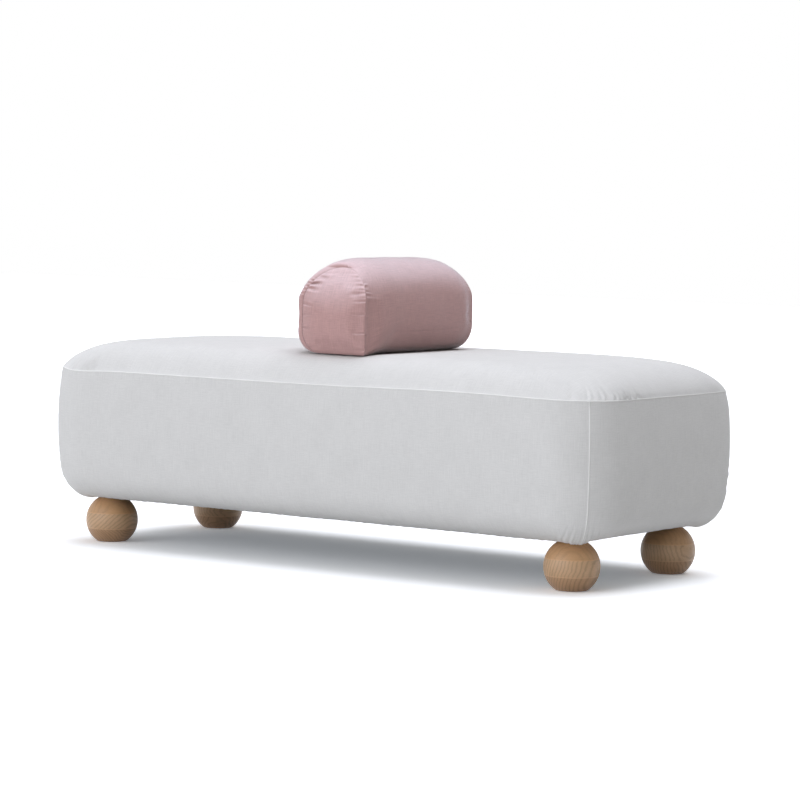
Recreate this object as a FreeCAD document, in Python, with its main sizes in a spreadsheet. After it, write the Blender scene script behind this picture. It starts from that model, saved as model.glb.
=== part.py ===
import FreeCAD, Part
import Sketcher
import math
import os

# Backless divan with a loose bolster.
# Millimetres, +Z up, +X along the length, the front long side faces -Y.
# The origin is on the floor, under the middle of the seat.

os.makedirs("parts", exist_ok=True)
doc = FreeCAD.newDocument("divan")
Vector = FreeCAD.Vector

# Lengths closer than this are the same; a cutter reaches this far past what it cuts
SAME = 0.01
PAST = 1

# Driving sizes

SIZES = [
    ("cover_length", 1510, "cover, end to end at the top seam"),
    ("cover_width", 626, "cover, front to back at the top seam"),
    ("plan_corner_radius", 122, "rounding of the cover's corners seen from above"),
    ("underside_height", 105, "floor to the underside of the cover"),
    ("seam_height", 404, "floor to the seam round the seat panel"),
    ("crown_height", 62.5, "rise of the seat panel above its seam"),
    ("crown_end_power", 9.5, "how far the crown stays flat towards the ends"),
    ("crown_end_fullness", 0.5, "how steeply the crown leaves the end seams"),
    ("crown_side_power", 10, "how far the crown stays flat towards front and back"),
    ("crown_side_fullness", 1.28, "how steeply the crown leaves the long seams"),
    ("crown_corner_gain", 30, "extra rounding of the crown's corners at its top"),
    ("wall_bulge", 13.6, "swell of the walls at mid height"),
    ("wall_taper", 9.5, "how far the walls lean in at the bottom"),
    ("lower_edge_inset", 65, "depth of the rounded lower edge"),
    ("lower_edge_height", 68, "height of the rounded lower edge"),
    ("cover_cloth", 1.6, "cover cloth with its backing"),
    ("cloth_clearance", 0.3, "room between soft pieces"),
    ("tack_margin", 38, "cover cloth turned under the frame"),
    ("frame_setback", 87, "frame's outer face inside the seam line"),
    ("rail_height", 170, "height of the outer rails"),
    ("rail_thickness", 18, "plywood of the rails"),
    ("cross_rail_height", 120, "height of the cross rails at their ends"),
    ("cross_rail_scoop", 24, "hollow in the top of each cross rail"),
    ("cross_rail_inset", 318, "outer cross rails inside the frame's ends"),
    ("corner_block_length", 60, "corner block along the length"),
    ("corner_block_width", 55, "corner block across the width"),
    ("corner_block_bevel", 22, "bevel on the block's inner edge"),
    ("corner_block_drop", 4, "block's top below the top of the rails"),
    ("screw_diameter", 5, "corner screw"),
    ("screw_length", 48, "corner screw, head included"),
    ("screw_head_diameter", 9.5, "countersunk head"),
    ("screw_spacing", 90, "distance between the screws of a pair"),
    ("screw_point_length", 5, "tapered end of a screw"),
    ("screw_stagger_height", 14, "end rails' screws above those of the long rails"),
    ("screw_hole_gap", 0.2, "room round a screw"),
    ("webbing_width", 70, "strap"),
    ("webbing_thickness", 2, "strap"),
    ("webbing_gap", 0.3, "room between straps where they cross"),
    ("webbing_edge_room", 1, "how far a strap stays level past the edge of one it crosses"),
    ("webbing_pitch_across", 140, "distance between the straps from front to back"),
    ("webbing_pitch_along", 110, "distance between the straps from end to end"),
    ("felt_thickness", 5, "deck felt"),
    ("felt_setback", 4, "felt's edge inside the frame's outer face"),
    ("foam_rise", 28, "top of the seat foam above the seam line"),
    ("foam_edge_radius", 24, "rounding of the seat foam's upper edge"),
    ("foam_corner_radius", 30, "rounding of the seat foam's upright corners"),
    ("foot_diameter", 120, "turned ball foot"),
    ("foot_centre_height", 50, "centre of the ball above the floor"),
    ("foot_inset_length", 35, "foot's centre inside the frame's end"),
    ("foot_inset_width", 31, "foot's centre inside the frame's long side"),
    ("glide_diameter", 44, "felt glide"),
    ("glide_thickness", 4, "felt glide"),
    ("glide_stand", 1, "how far a glide stands out of its foot"),
    ("glide_gap", 0.2, "room round a glide"),
    ("bolt_diameter", 8, "hanger bolt"),
    ("bolt_length", 76, "hanger bolt"),
    ("bolt_point_length", 6, "tapered end of the bolt in the foot"),
    ("bolt_in_foot", 40, "depth of the bolt in the foot"),
    ("bolt_gap", 0.15, "room round the bolt"),
    ("bolt_end_room", 1, "room past each end of the bolt"),
    ("cloth_hole_room", 1, "room round the bolt in the cloths"),
    ("insert_diameter", 13, "threaded insert"),
    ("insert_length", 24, "threaded insert"),
    ("insert_flange_diameter", 19, "rim of the threaded insert"),
    ("insert_flange_thickness", 1.5, "rim of the threaded insert"),
    ("insert_gap", 0.15, "room round the insert"),
    ("dust_cloth", 1, "dust cover"),
    ("dust_setback", 8, "dust cover's edge inside the frame's outer face"),
    ("dust_corner_radius", 14, "corners of the dust cover"),
    ("tack_corner_radius", 12, "corners of the opening that the tack margin leaves"),
    ("bolster_length", 409, "bolster, between its end seams"),
    ("bolster_width", 184, "bolster, across its end panel"),
    ("bolster_end_height", 195.5, "bolster, up its end panel"),
    ("bolster_arch_rise", 78, "height of the arch on the end panel"),
    ("bolster_shoulder_radius", 30, "turn from the upright sides into the arch"),
    ("bolster_lower_radius", 34, "rounding of the long lower edges"),
    ("bolster_side_fullness", 6, "swell of each side at mid length"),
    ("bolster_crown", 13, "rise of the top at mid length"),
    ("bolster_end_bulge", 7, "swell of an end panel"),
    ("bolster_fullness_power", 4.1, "how soon the swell sets in from the ends"),
    ("bolster_cloth", 1.2, "bolster cloth"),
    ("bolster_place_x", 22, "bolster's middle along the seat"),
    ("bolster_place_y", -27, "bolster's middle across the seat"),
]

sheet = doc.addObject("Spreadsheet::Sheet", "Sizes")
for row, (alias, amount, meaning) in enumerate(SIZES, start=1):
    sheet.set("A%d" % row, alias)
    sheet.set("B%d" % row, str(amount))
    sheet.set("C%d" % row, meaning)
    sheet.setAlias("B%d" % row, alias)

# Places that follow from the driving sizes

PLACES = [
    ("half_length", "Sizes.cover_length / 2"),
    ("half_width", "Sizes.cover_width / 2"),
    ("frame_length", "Sizes.cover_length - 2 * Sizes.frame_setback"),
    ("frame_width", "Sizes.cover_width - 2 * Sizes.frame_setback"),
    ("frame_bottom", "Sizes.underside_height + Sizes.cover_cloth"),
    ("frame_top", "frame_bottom + Sizes.rail_height"),
    ("rail_middle_height", "frame_bottom + Sizes.rail_height / 2"),
    ("long_rail_place", "frame_width / 2 - Sizes.rail_thickness / 2"),
    ("end_rail_place", "frame_length / 2 - Sizes.rail_thickness / 2"),
    ("end_rail_length", "frame_width - 2 * Sizes.rail_thickness"),
    ("cross_rail_place", "frame_length / 2 - Sizes.cross_rail_inset"),
    ("block_height", "Sizes.rail_height - Sizes.corner_block_drop"),
    ("block_face_x", "frame_length / 2 - Sizes.rail_thickness"),
    ("block_face_y", "frame_width / 2 - Sizes.rail_thickness"),
    ("block_middle_x", "block_face_x - Sizes.corner_block_length / 2"),
    ("block_middle_y", "block_face_y - Sizes.corner_block_width / 2"),
    ("foot_x", "frame_length / 2 - Sizes.foot_inset_length"),
    ("foot_y", "frame_width / 2 - Sizes.foot_inset_width"),
    ("foot_top", "Sizes.underside_height - Sizes.dust_cloth"),
    ("dust_length", "frame_length - 2 * Sizes.dust_setback"),
    ("dust_width", "frame_width - 2 * Sizes.dust_setback"),
    ("felt_length", "frame_length - 2 * Sizes.felt_setback"),
    ("felt_width", "frame_width - 2 * Sizes.felt_setback"),
    ("weave_rise", "(Sizes.webbing_thickness + Sizes.webbing_gap) / 2"),
    ("webbing_middle", "frame_top + Sizes.webbing_thickness / 2"),
    ("felt_bottom", "webbing_middle + weave_rise + Sizes.webbing_thickness / 2"),
    ("foam_bottom", "felt_bottom + Sizes.felt_thickness"),
    ("foam_top", "Sizes.seam_height + Sizes.foam_rise"),
    ("foam_height", "foam_top - foam_bottom"),
    ("seat_top", "Sizes.seam_height + Sizes.crown_height"),
    ("bolster_base", "seat_top + Sizes.cloth_clearance"),
]

layout = doc.addObject("Spreadsheet::Sheet", "Places")
for row, (alias, formula) in enumerate(PLACES, start=1):
    layout.set("A%d" % row, alias)
    layout.setAlias("B%d" % row, alias)
for row, (alias, formula) in enumerate(PLACES, start=1):
    layout.set("B%d" % row, "=" + formula)
doc.recompute()


def size(alias):
    return float(sheet.get(alias))


def place(alias):
    return float(layout.get(alias))


# Helpers for bodies made of sketches and features

NODES = []


def origin_plane(body, role):
    for feature in body.Origin.OriginFeatures:
        if feature.Role == role:
            return feature
    raise ValueError("no origin plane " + role)


def new_body(label):
    body = doc.addObject("PartDesign::Body", label)
    body.Label = label
    NODES.append(body)
    return body


def new_sketch(body, label, role):
    sketch = body.newObject("Sketcher::SketchObject", label)
    sketch.AttachmentSupport = [(origin_plane(body, role), "")]
    sketch.MapMode = "FlatFace"
    return sketch


def bind(sketch, constraint, expression):
    index = sketch.addConstraint(constraint)
    sketch.setExpression("Constraints[%d]" % index, expression)


def add_rectangle(sketch, width, width_name, depth, depth_name):
    """A rectangle centred on the sketch's origin, bound to two named sizes."""
    half_w = width / 2
    half_d = depth / 2
    corners = [Vector(-half_w, -half_d), Vector(half_w, -half_d),
               Vector(half_w, half_d), Vector(-half_w, half_d)]
    first = len(sketch.Geometry)
    for index, corner in enumerate(corners):
        sketch.addGeometry(Part.LineSegment(corner, corners[(index + 1) % 4]), False)
    for index in range(4):
        after = first + (index + 1) % 4
        sketch.addConstraint(Sketcher.Constraint("Coincident", first + index, 2, after, 1))
    for index in (0, 2):
        sketch.addConstraint(Sketcher.Constraint("Horizontal", first + index))
        sketch.addConstraint(Sketcher.Constraint("Vertical", first + index + 1))
    sketch.addConstraint(Sketcher.Constraint("Symmetric", first, 1, first + 2, 1, -1, 1))
    bind(sketch, Sketcher.Constraint("DistanceX", first, 1, first, 2, width), width_name)
    bind(sketch, Sketcher.Constraint("DistanceY", first + 1, 1, first + 1, 2, depth), depth_name)


def add_circle(sketch, across, across_name, up, up_name, radius, radius_name):
    """A circle whose centre and radius are bound to named sizes."""
    circle = Part.Circle(Vector(across, up, 0), Vector(0, 0, 1), radius)
    index = sketch.addGeometry(circle, False)
    bind(sketch, Sketcher.Constraint("Radius", index, radius), radius_name)
    for kind, amount, name, axis in (("DistanceX", across, across_name, -2),
                                     ("DistanceY", up, up_name, -1)):
        if name is None:
            sketch.addConstraint(Sketcher.Constraint("PointOnObject", index, 3, axis))
        else:
            bind(sketch, Sketcher.Constraint(kind, -1, 1, index, 3, amount), name)


def pad(body, sketch, label, thickness_name):
    """A pad centred on the sketch's plane."""
    feature = body.newObject("PartDesign::Pad", label)
    feature.Profile = sketch
    feature.SideType = "Symmetric"
    feature.setExpression("Length", thickness_name)
    return feature


def pocket_through(body, sketch, label):
    """A pocket through the whole piece, both ways from the sketch's plane."""
    feature = body.newObject("PartDesign::Pocket", label)
    feature.Profile = sketch
    feature.SideType = "Symmetric"
    feature.Type = "ThroughAll"
    return feature


def put(body, x_name=None, y_name=None, z_name=None):
    """Places a body by named places."""
    for axis, name in (("x", x_name), ("y", y_name), ("z", z_name)):
        if name is not None:
            body.setExpression("Placement.Base." + axis, name)


def add_solid(label, shape):
    """A free-form piece, or a group of like pieces, as a node of its own."""
    feature = doc.addObject("Part::Feature", label)
    feature.Label = label
    feature.Shape = shape
    NODES.append(feature)
    return feature


def upright_cylinder(radius, bottom, top, x, y):
    return Part.makeCylinder(radius, top - bottom, Vector(x, y, bottom))


def corners_of(x, y):
    """Front left, front right, back left, back right."""
    return (("front_left", -x, -y), ("front_right", x, -y),
            ("back_left", -x, y), ("back_right", x, y))


# Outer rails, plywood on edge

SCREW_HOLE = "Sizes.screw_diameter / 2 + Sizes.screw_hole_gap"
COUNTERSINK = "Sizes.screw_head_diameter / 2 - Sizes.screw_diameter / 2"
screw_hole = size("screw_diameter") / 2 + size("screw_hole_gap")
pair_half = size("screw_spacing") / 2


def add_rail(label, role, length_name, hole_name, stagger_name, outward):
    """A rail with a pair of countersunk holes near each end, on the line of the corner blocks."""
    body = new_body(label)
    blank = new_sketch(body, label + "_outline", role)
    add_rectangle(blank, place(length_name), "Places." + length_name,
                  size("rail_height"), "Sizes.rail_height")
    pad(body, blank, label + "_board", "Sizes.rail_thickness")
    holes = new_sketch(body, label + "_screw_holes", role)
    middle = place(hole_name)
    lift = size("screw_stagger_height") if stagger_name else 0
    for across, sign in ((middle, ""), (-middle, "-")):
        for up, pair_name in ((pair_half, "Sizes.screw_spacing / 2"),
                              (-pair_half, "-Sizes.screw_spacing / 2")):
            up_name = pair_name + " + " + stagger_name if stagger_name else pair_name
            add_circle(holes, across, sign + "Places." + hole_name, up + lift, up_name,
                       screw_hole, SCREW_HOLE)
    drilled = pocket_through(body, holes, label + "_drilled")
    doc.recompute()
    outer_face = outward * (size("rail_thickness") / 2)
    names = []
    for number, edge in enumerate(drilled.Shape.Edges, start=1):
        on_face = abs(edge.CenterOfMass.dot(outward) - outer_face.dot(outward)) < SAME
        if isinstance(edge.Curve, Part.Circle) and on_face:
            names.append("Edge%d" % number)
    sinks = body.newObject("PartDesign::Chamfer", label + "_countersinks")
    sinks.Base = (drilled, names)
    sinks.setExpression("Size", COUNTERSINK)
    return body


front = add_rail("rail_front", "XZ_Plane", "frame_length", "block_middle_x", "", Vector(0, -1, 0))
put(front, None, "-Places.long_rail_place", "Places.rail_middle_height")
back = add_rail("rail_back", "XZ_Plane", "frame_length", "block_middle_x", "", Vector(0, 1, 0))
put(back, None, "Places.long_rail_place", "Places.rail_middle_height")
STAGGER = "Sizes.screw_stagger_height"
left = add_rail("rail_left_end", "YZ_Plane", "end_rail_length", "block_middle_y", STAGGER,
                Vector(-1, 0, 0))
put(left, "-Places.end_rail_place", None, "Places.rail_middle_height")
right = add_rail("rail_right_end", "YZ_Plane", "end_rail_length", "block_middle_y", STAGGER,
                 Vector(1, 0, 0))
put(right, "Places.end_rail_place", None, "Places.rail_middle_height")

# Cross rails, each with a hollow top so that the webbing can sink


def add_cross_rail(label, place_name):
    body = new_body(label)
    outline = new_sketch(body, label + "_outline", "YZ_Plane")
    half = place("end_rail_length") / 2
    top = size("cross_rail_height")
    scoop = size("cross_rail_scoop")
    points = [Vector(-half, top), Vector(-half, 0), Vector(half, 0), Vector(half, top)]
    for index in range(3):
        outline.addGeometry(Part.LineSegment(points[index], points[index + 1]), False)
    bow = Part.Arc(points[3], Vector(0, top - scoop), points[0])
    outline.addGeometry(bow, False)
    for index in range(2):
        outline.addConstraint(Sketcher.Constraint("Coincident", index, 2, index + 1, 1))
    outline.addConstraint(Sketcher.Constraint("Coincident", 2, 2, 3, 2))
    outline.addConstraint(Sketcher.Constraint("Coincident", 3, 1, 0, 1))
    outline.addConstraint(Sketcher.Constraint("Horizontal", 1))
    outline.addConstraint(Sketcher.Constraint("Vertical", 0))
    outline.addConstraint(Sketcher.Constraint("Vertical", 2))
    outline.addConstraint(Sketcher.Constraint("Symmetric", 1, 1, 1, 2, -1, 1))
    outline.addConstraint(Sketcher.Constraint("PointOnObject", 3, 3, -2))
    bind(outline, Sketcher.Constraint("DistanceX", 1, 1, 1, 2, 2 * half), "Places.end_rail_length")
    bind(outline, Sketcher.Constraint("DistanceY", 2, 1, 2, 2, top), "Sizes.cross_rail_height")
    radius = (half * half + scoop * scoop) / (2 * scoop)
    bind(outline, Sketcher.Constraint("Radius", 3, radius),
         "(Places.end_rail_length ^ 2 / 4 + Sizes.cross_rail_scoop ^ 2) / (2 * Sizes.cross_rail_scoop)")
    pad(body, outline, label + "_board", "Sizes.rail_thickness")
    put(body, place_name, None, "Places.frame_bottom")
    return body


add_cross_rail("cross_rail_left", "-Places.cross_rail_place")
add_cross_rail("cross_rail_middle", None)
add_cross_rail("cross_rail_right", "Places.cross_rail_place")

# Corner blocks, bored from below for the foot's insert and bolt

bore_radius = size("insert_diameter") / 2 + size("insert_gap")
flange_radius = size("insert_flange_diameter") / 2 + size("insert_gap")
bolt_bore = size("bolt_diameter") / 2 + size("bolt_gap")
bolt_bottom = place("foot_top") - size("bolt_in_foot")
bolt_top = bolt_bottom + size("bolt_length")
block_bottom = place("frame_bottom")


def corner_block(sign_x, sign_y):
    face_x = place("block_face_x")
    face_y = place("block_face_y")
    inner_x = face_x - size("corner_block_length")
    inner_y = face_y - size("corner_block_width")
    bevel = size("corner_block_bevel")
    outline = [(face_x, face_y), (inner_x, face_y), (inner_x, inner_y + bevel),
               (inner_x + bevel, inner_y), (face_x, inner_y)]
    points = [Vector(sign_x * x, sign_y * y, block_bottom) for x, y in outline]
    block = Part.Face(Part.makePolygon(points + points[:1]))
    block = block.extrude(Vector(0, 0, place("block_height")))
    x = sign_x * place("foot_x")
    y = sign_y * place("foot_y")
    flange_top = block_bottom + size("insert_flange_thickness") + size("insert_gap")
    sleeve_top = block_bottom + size("insert_length") + size("insert_gap")
    block = block.cut(upright_cylinder(flange_radius, block_bottom - PAST, flange_top, x, y))
    block = block.cut(upright_cylinder(bore_radius, block_bottom - PAST, sleeve_top, x, y))
    bore_top = bolt_top + size("bolt_end_room")
    return block.cut(upright_cylinder(bolt_bore, block_bottom - PAST, bore_top, x, y))


def screw_places(sign_x, sign_y):
    """Head and direction of the four screws of one corner, from the rails' outer faces."""
    found = []
    for level in (pair_half, -pair_half):
        height = place("rail_middle_height") + level
        found.append((Vector(sign_x * place("block_middle_x"), sign_y * place("frame_width") / 2,
                             height), Vector(0, -sign_y, 0)))
        found.append((Vector(sign_x * place("frame_length") / 2, sign_y * place("block_middle_y"),
                             height + size("screw_stagger_height")), Vector(-sign_x, 0, 0)))
    return found


def countersunk_screw(head_face, direction):
    """A plain-shanked screw driven from its head's face."""
    shank = size("screw_diameter") / 2
    head = size("screw_head_diameter") / 2
    point_length = size("screw_point_length")
    stem_length = size("screw_length") - point_length
    cone = Part.makeCone(head, shank, head - shank, head_face, direction)
    stem = Part.makeCylinder(shank, stem_length, head_face, direction)
    blunt_tip = shank / 5
    point = Part.makeCone(shank, blunt_tip, point_length, head_face + direction * stem_length,
                          direction)
    return cone.fuse(stem).fuse(point).removeSplitter()


screws = []
for corner, sign_x, sign_y in corners_of(1, 1):
    block = corner_block(sign_x, sign_y)
    for head_face, direction in screw_places(sign_x, sign_y):
        pilot = size("screw_length") + size("screw_hole_gap")
        block = block.cut(Part.makeCylinder(screw_hole, pilot, head_face, direction))
        screws.append(countersunk_screw(head_face, direction))
    add_solid("corner_block_" + corner, block)
add_solid("corner_screws", Part.Compound(screws))

# Turned ball feet, cut flat above and below, bored for bolt and glide


def add_ball_foot(label, x_name, y_name):
    """One turning: ball, flats, the glide's recess below and the bolt's bore above."""
    body = new_body(label)
    outline = new_sketch(body, label + "_outline", "XZ_Plane")
    radius = size("foot_diameter") / 2
    centre = size("foot_centre_height")
    low = size("glide_stand")
    high = place("foot_top")
    recess = size("glide_diameter") / 2 + size("glide_gap")
    recess_top = size("glide_thickness")
    bore = bolt_bore
    bore_bottom = bolt_bottom - size("bolt_end_room")
    low_flat = math.sqrt(radius ** 2 - (centre - low) ** 2)
    high_flat = math.sqrt(radius ** 2 - (high - centre) ** 2)
    points = [(0, recess_top), (recess, recess_top), (recess, low), (low_flat, low),
              (high_flat, high), (bore, high), (bore, bore_bottom), (0, bore_bottom)]
    points = [Vector(x, z) for x, z in points]
    lines = ((0, 1), (1, 2), (2, 3), (4, 5), (5, 6), (6, 7), (7, 0))
    for start, end in lines:
        outline.addGeometry(Part.LineSegment(points[start], points[end]), False)
    bulge = Part.Arc(points[3], Vector(radius, centre), points[4])
    outline.addGeometry(bulge, False)
    for index in (0, 1, 3, 4, 5):
        outline.addConstraint(Sketcher.Constraint("Coincident", index, 2, index + 1, 1))
    outline.addConstraint(Sketcher.Constraint("Coincident", 6, 2, 0, 1))
    outline.addConstraint(Sketcher.Constraint("Coincident", 2, 2, 7, 1))
    outline.addConstraint(Sketcher.Constraint("Coincident", 3, 1, 7, 2))
    for index in (0, 2, 3, 5):
        outline.addConstraint(Sketcher.Constraint("Horizontal", index))
    for index in (1, 4):
        outline.addConstraint(Sketcher.Constraint("Vertical", index))
    outline.addConstraint(Sketcher.Constraint("PointOnObject", 6, 1, -2))
    outline.addConstraint(Sketcher.Constraint("PointOnObject", 6, 2, -2))
    outline.addConstraint(Sketcher.Constraint("PointOnObject", 7, 3, -2))
    bind(outline, Sketcher.Constraint("DistanceY", -1, 1, 7, 3, centre), "Sizes.foot_centre_height")
    bind(outline, Sketcher.Constraint("Radius", 7, radius), "Sizes.foot_diameter / 2")
    bind(outline, Sketcher.Constraint("DistanceY", -1, 1, 2, 1, low), "Sizes.glide_stand")
    bind(outline, Sketcher.Constraint("DistanceY", -1, 1, 3, 1, high), "Places.foot_top")
    bind(outline, Sketcher.Constraint("DistanceY", -1, 1, 0, 1, recess_top), "Sizes.glide_thickness")
    bind(outline, Sketcher.Constraint("DistanceX", -1, 1, 1, 1, recess),
         "Sizes.glide_diameter / 2 + Sizes.glide_gap")
    bind(outline, Sketcher.Constraint("DistanceX", -1, 1, 4, 1, bore),
         "Sizes.bolt_diameter / 2 + Sizes.bolt_gap")
    bind(outline, Sketcher.Constraint("DistanceY", -1, 1, 6, 1, bore_bottom),
         "Places.foot_top - Sizes.bolt_in_foot - Sizes.bolt_end_room")
    turning = body.newObject("PartDesign::Revolution", label + "_turning")
    turning.Profile = outline
    turning.ReferenceAxis = (outline, ["V_Axis"])
    turning.Angle = 360
    put(body, x_name, y_name, None)
    return body


for side_y, y_name in (("front", "-Places.foot_y"), ("back", "Places.foot_y")):
    for side_x, x_name in (("left", "-Places.foot_x"), ("right", "Places.foot_x")):
        add_ball_foot("foot_%s_%s" % (side_y, side_x), x_name, y_name)

# What holds the feet: glides, bolts and threaded inserts, one group each


def at_each_foot(make):
    spots = corners_of(place("foot_x"), place("foot_y"))
    return Part.Compound([make(x, y) for corner, x, y in spots])


def glide(x, y):
    return upright_cylinder(size("glide_diameter") / 2, 0, size("glide_thickness"), x, y)


def hanger_bolt(x, y):
    radius = size("bolt_diameter") / 2
    tip = size("bolt_point_length")
    blunt_tip = radius / 4
    shank = upright_cylinder(radius, bolt_bottom + tip, bolt_top, x, y)
    point = Part.makeCone(blunt_tip, radius, tip, Vector(x, y, bolt_bottom))
    return shank.fuse(point).removeSplitter()


def threaded_insert(x, y):
    rim = upright_cylinder(size("insert_flange_diameter") / 2, block_bottom,
                           block_bottom + size("insert_flange_thickness"), x, y)
    sleeve = upright_cylinder(size("insert_diameter") / 2, block_bottom,
                              block_bottom + size("insert_length"), x, y)
    bore = upright_cylinder(bolt_bore, block_bottom - PAST,
                            block_bottom + size("insert_length") + PAST, x, y)
    return rim.fuse(sleeve).removeSplitter().cut(bore)


add_solid("foot_glides", at_each_foot(glide))
add_solid("hanger_bolts", at_each_foot(hanger_bolt))
add_solid("threaded_inserts", at_each_foot(threaded_insert))

# Webbing, woven over and under


def strap_levels(crossings, first_is_over):
    """Height of a strap's middle at each crossing, above and below by turns."""
    levels = []
    for index in range(len(crossings)):
        sign = 1 if (index % 2 == 0) == first_is_over else -1
        levels.append(sign * place("weave_rise"))
    return levels


def strap_outline(reach, crossings, levels):
    """Middle line of a strap: flat at its ends and over each crossing, sloping between."""
    flat = size("webbing_width") / 2 + size("webbing_edge_room")
    line = [(-reach, 0), (-reach + size("rail_thickness"), 0)]
    for centre, level in zip(crossings, levels):
        line += [(centre - flat, level), (centre + flat, level)]
    return line + [(reach - size("rail_thickness"), 0), (reach, 0)]


def strap(line, along, across, offset):
    """A strap with the given middle line along one axis, centred at offset on the other."""
    half = size("webbing_thickness") / 2
    middle = place("webbing_middle")
    width = size("webbing_width")
    upper = [along * run + Vector(0, 0, middle + rise + half) for run, rise in line]
    lower = [along * run + Vector(0, 0, middle + rise - half) for run, rise in reversed(line)]
    side = across * (offset - width / 2)
    points = [point + side for point in upper + lower]
    return Part.Face(Part.makePolygon(points + points[:1])).extrude(across * width)


def evenly_spaced(pitch, count):
    return [pitch * (index - (count - 1) / 2) for index in range(count)]


room_along = place("frame_length") / 2 - size("rail_thickness") - size("webbing_width") / 2
room_across = place("frame_width") / 2 - size("rail_thickness") - size("webbing_width") / 2
half_count = int(room_along / size("webbing_pitch_across"))
strap_x = evenly_spaced(size("webbing_pitch_across"), 2 * half_count + 1)
half_count = int(room_across / size("webbing_pitch_along"))
strap_y = evenly_spaced(size("webbing_pitch_along"), 2 * half_count + 1)

across_straps = []
for number, x in enumerate(strap_x):
    levels = strap_levels(strap_y, number % 2 == 0)
    line = strap_outline(place("frame_width") / 2, strap_y, levels)
    across_straps.append(strap(line, Vector(0, 1, 0), Vector(1, 0, 0), x))
along_straps = []
for number, y in enumerate(strap_y):
    levels = strap_levels(strap_x, number % 2 == 1)
    line = strap_outline(place("frame_length") / 2, strap_x, levels)
    along_straps.append(strap(line, Vector(1, 0, 0), Vector(0, 1, 0), y))
add_solid("webbing_front_to_back", Part.Compound(across_straps))
add_solid("webbing_end_to_end", Part.Compound(along_straps))

# Deck felt and seat foam

felt = new_body("deck_felt")
felt_outline = new_sketch(felt, "deck_felt_outline", "XY_Plane")
add_rectangle(felt_outline, place("felt_length"), "Places.felt_length",
              place("felt_width"), "Places.felt_width")
pad(felt, felt_outline, "deck_felt_sheet", "Sizes.felt_thickness")
put(felt, None, None, "Places.felt_bottom + Sizes.felt_thickness / 2")


def edges_where(shape, test):
    """Names of the edges whose two ends both pass the test."""
    names = []
    for number, edge in enumerate(shape.Edges, start=1):
        if all(test(vertex.Point) for vertex in edge.Vertexes):
            names.append("Edge%d" % number)
    return names


foam = new_body("seat_foam")
foam_outline = new_sketch(foam, "seat_foam_outline", "XY_Plane")
add_rectangle(foam_outline, place("frame_length"), "Places.frame_length",
              place("frame_width"), "Places.frame_width")
foam_block = pad(foam, foam_outline, "seat_foam_block", "Places.foam_height")
doc.recompute()
upright = [name for name in edges_where(foam_block.Shape, lambda point: True)
           if abs(foam_block.Shape.getElement(name).Length - place("foam_height")) < SAME]
foam_corners = foam.newObject("PartDesign::Fillet", "seat_foam_corners")
foam_corners.Base = (foam_block, upright)
foam_corners.setExpression("Radius", "Sizes.foam_corner_radius")
doc.recompute()
foam_edge = foam.newObject("PartDesign::Fillet", "seat_foam_edge")
half_height = place("foam_height") / 2
foam_edge.Base = (foam_corners, edges_where(foam_corners.Shape,
                                            lambda point: abs(point.z - half_height) < SAME))
foam_edge.setExpression("Radius", "Sizes.foam_edge_radius")
put(foam, None, None, "Places.foam_bottom + Places.foam_height / 2")
doc.recompute()

# Forms of the cover: level outlines with four straights and four arcs


def round_outline(half_x, half_y, radius, level):
    """A level rectangle with round corners."""
    bend = radius * (1 - math.sqrt(0.5))
    straight_x = half_x - radius
    straight_y = half_y - radius
    edges = []
    for sign_x, sign_y in ((1, -1), (1, 1), (-1, 1), (-1, -1)):
        turn_in = Vector(sign_x * straight_x, sign_y * half_y, level)
        turn_out = Vector(sign_x * half_x, sign_y * straight_y, level)
        middle = Vector(sign_x * (half_x - bend), sign_y * (half_y - bend), level)
        if sign_x * sign_y > 0:
            turn_in, turn_out = turn_out, turn_in
        edges.append(Part.Arc(turn_in, middle, turn_out))
    wire = []
    for index, arc in enumerate(edges):
        following = edges[(index + 1) % 4]
        wire.append(arc.toShape())
        wire.append(Part.makeLine(arc.EndPoint, following.StartPoint))
    return Part.Wire(wire)


def smooth_loft(outlines):
    """A closed solid through all the outlines, smooth along them."""
    cubic = 3
    return Part.makeLoft(outlines, True, False, False, cubic)


def wall_inset(level):
    """How far the wall stands inside the seam line at a level."""
    seam = size("seam_height")
    bottom = size("underside_height")
    fall = (seam - level) / (seam - bottom)
    rounding = 0
    if level - bottom < size("lower_edge_height"):
        lean = (size("lower_edge_height") - (level - bottom)) / size("lower_edge_height")
        rounding = size("lower_edge_inset") * (1 - math.sqrt(max(0, 1 - lean ** 2)))
    return size("wall_taper") * fall + rounding - size("wall_bulge") * 4 * fall * (1 - fall)


WALL_STEPS = (0, 0.035, 0.1, 0.22, 0.42, 0.68, 1)
UPPER_STEPS = (0.12, 0.26, 0.41, 0.56, 0.71, 0.85, 0.94, 1)


def wall_form(inside, bottom, top):
    """The body of the cover between two levels, the given distance inside its face."""
    turn = size("underside_height") + size("lower_edge_height")
    levels = [bottom + (turn - bottom) * step for step in WALL_STEPS]
    levels += [turn + (top - turn) * step for step in UPPER_STEPS]
    outlines = []
    for level in levels:
        inset = wall_inset(min(level, size("seam_height"))) + inside
        outlines.append(round_outline(place("half_length") - inset, place("half_width") - inset,
                                      size("plan_corner_radius") - inset, level))
    return smooth_loft(outlines)


CROWN_STEPS = (0, 0.12, 0.25, 0.38, 0.5, 0.61, 0.71, 0.8, 0.87, 0.925, 0.965, 0.99)


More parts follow.
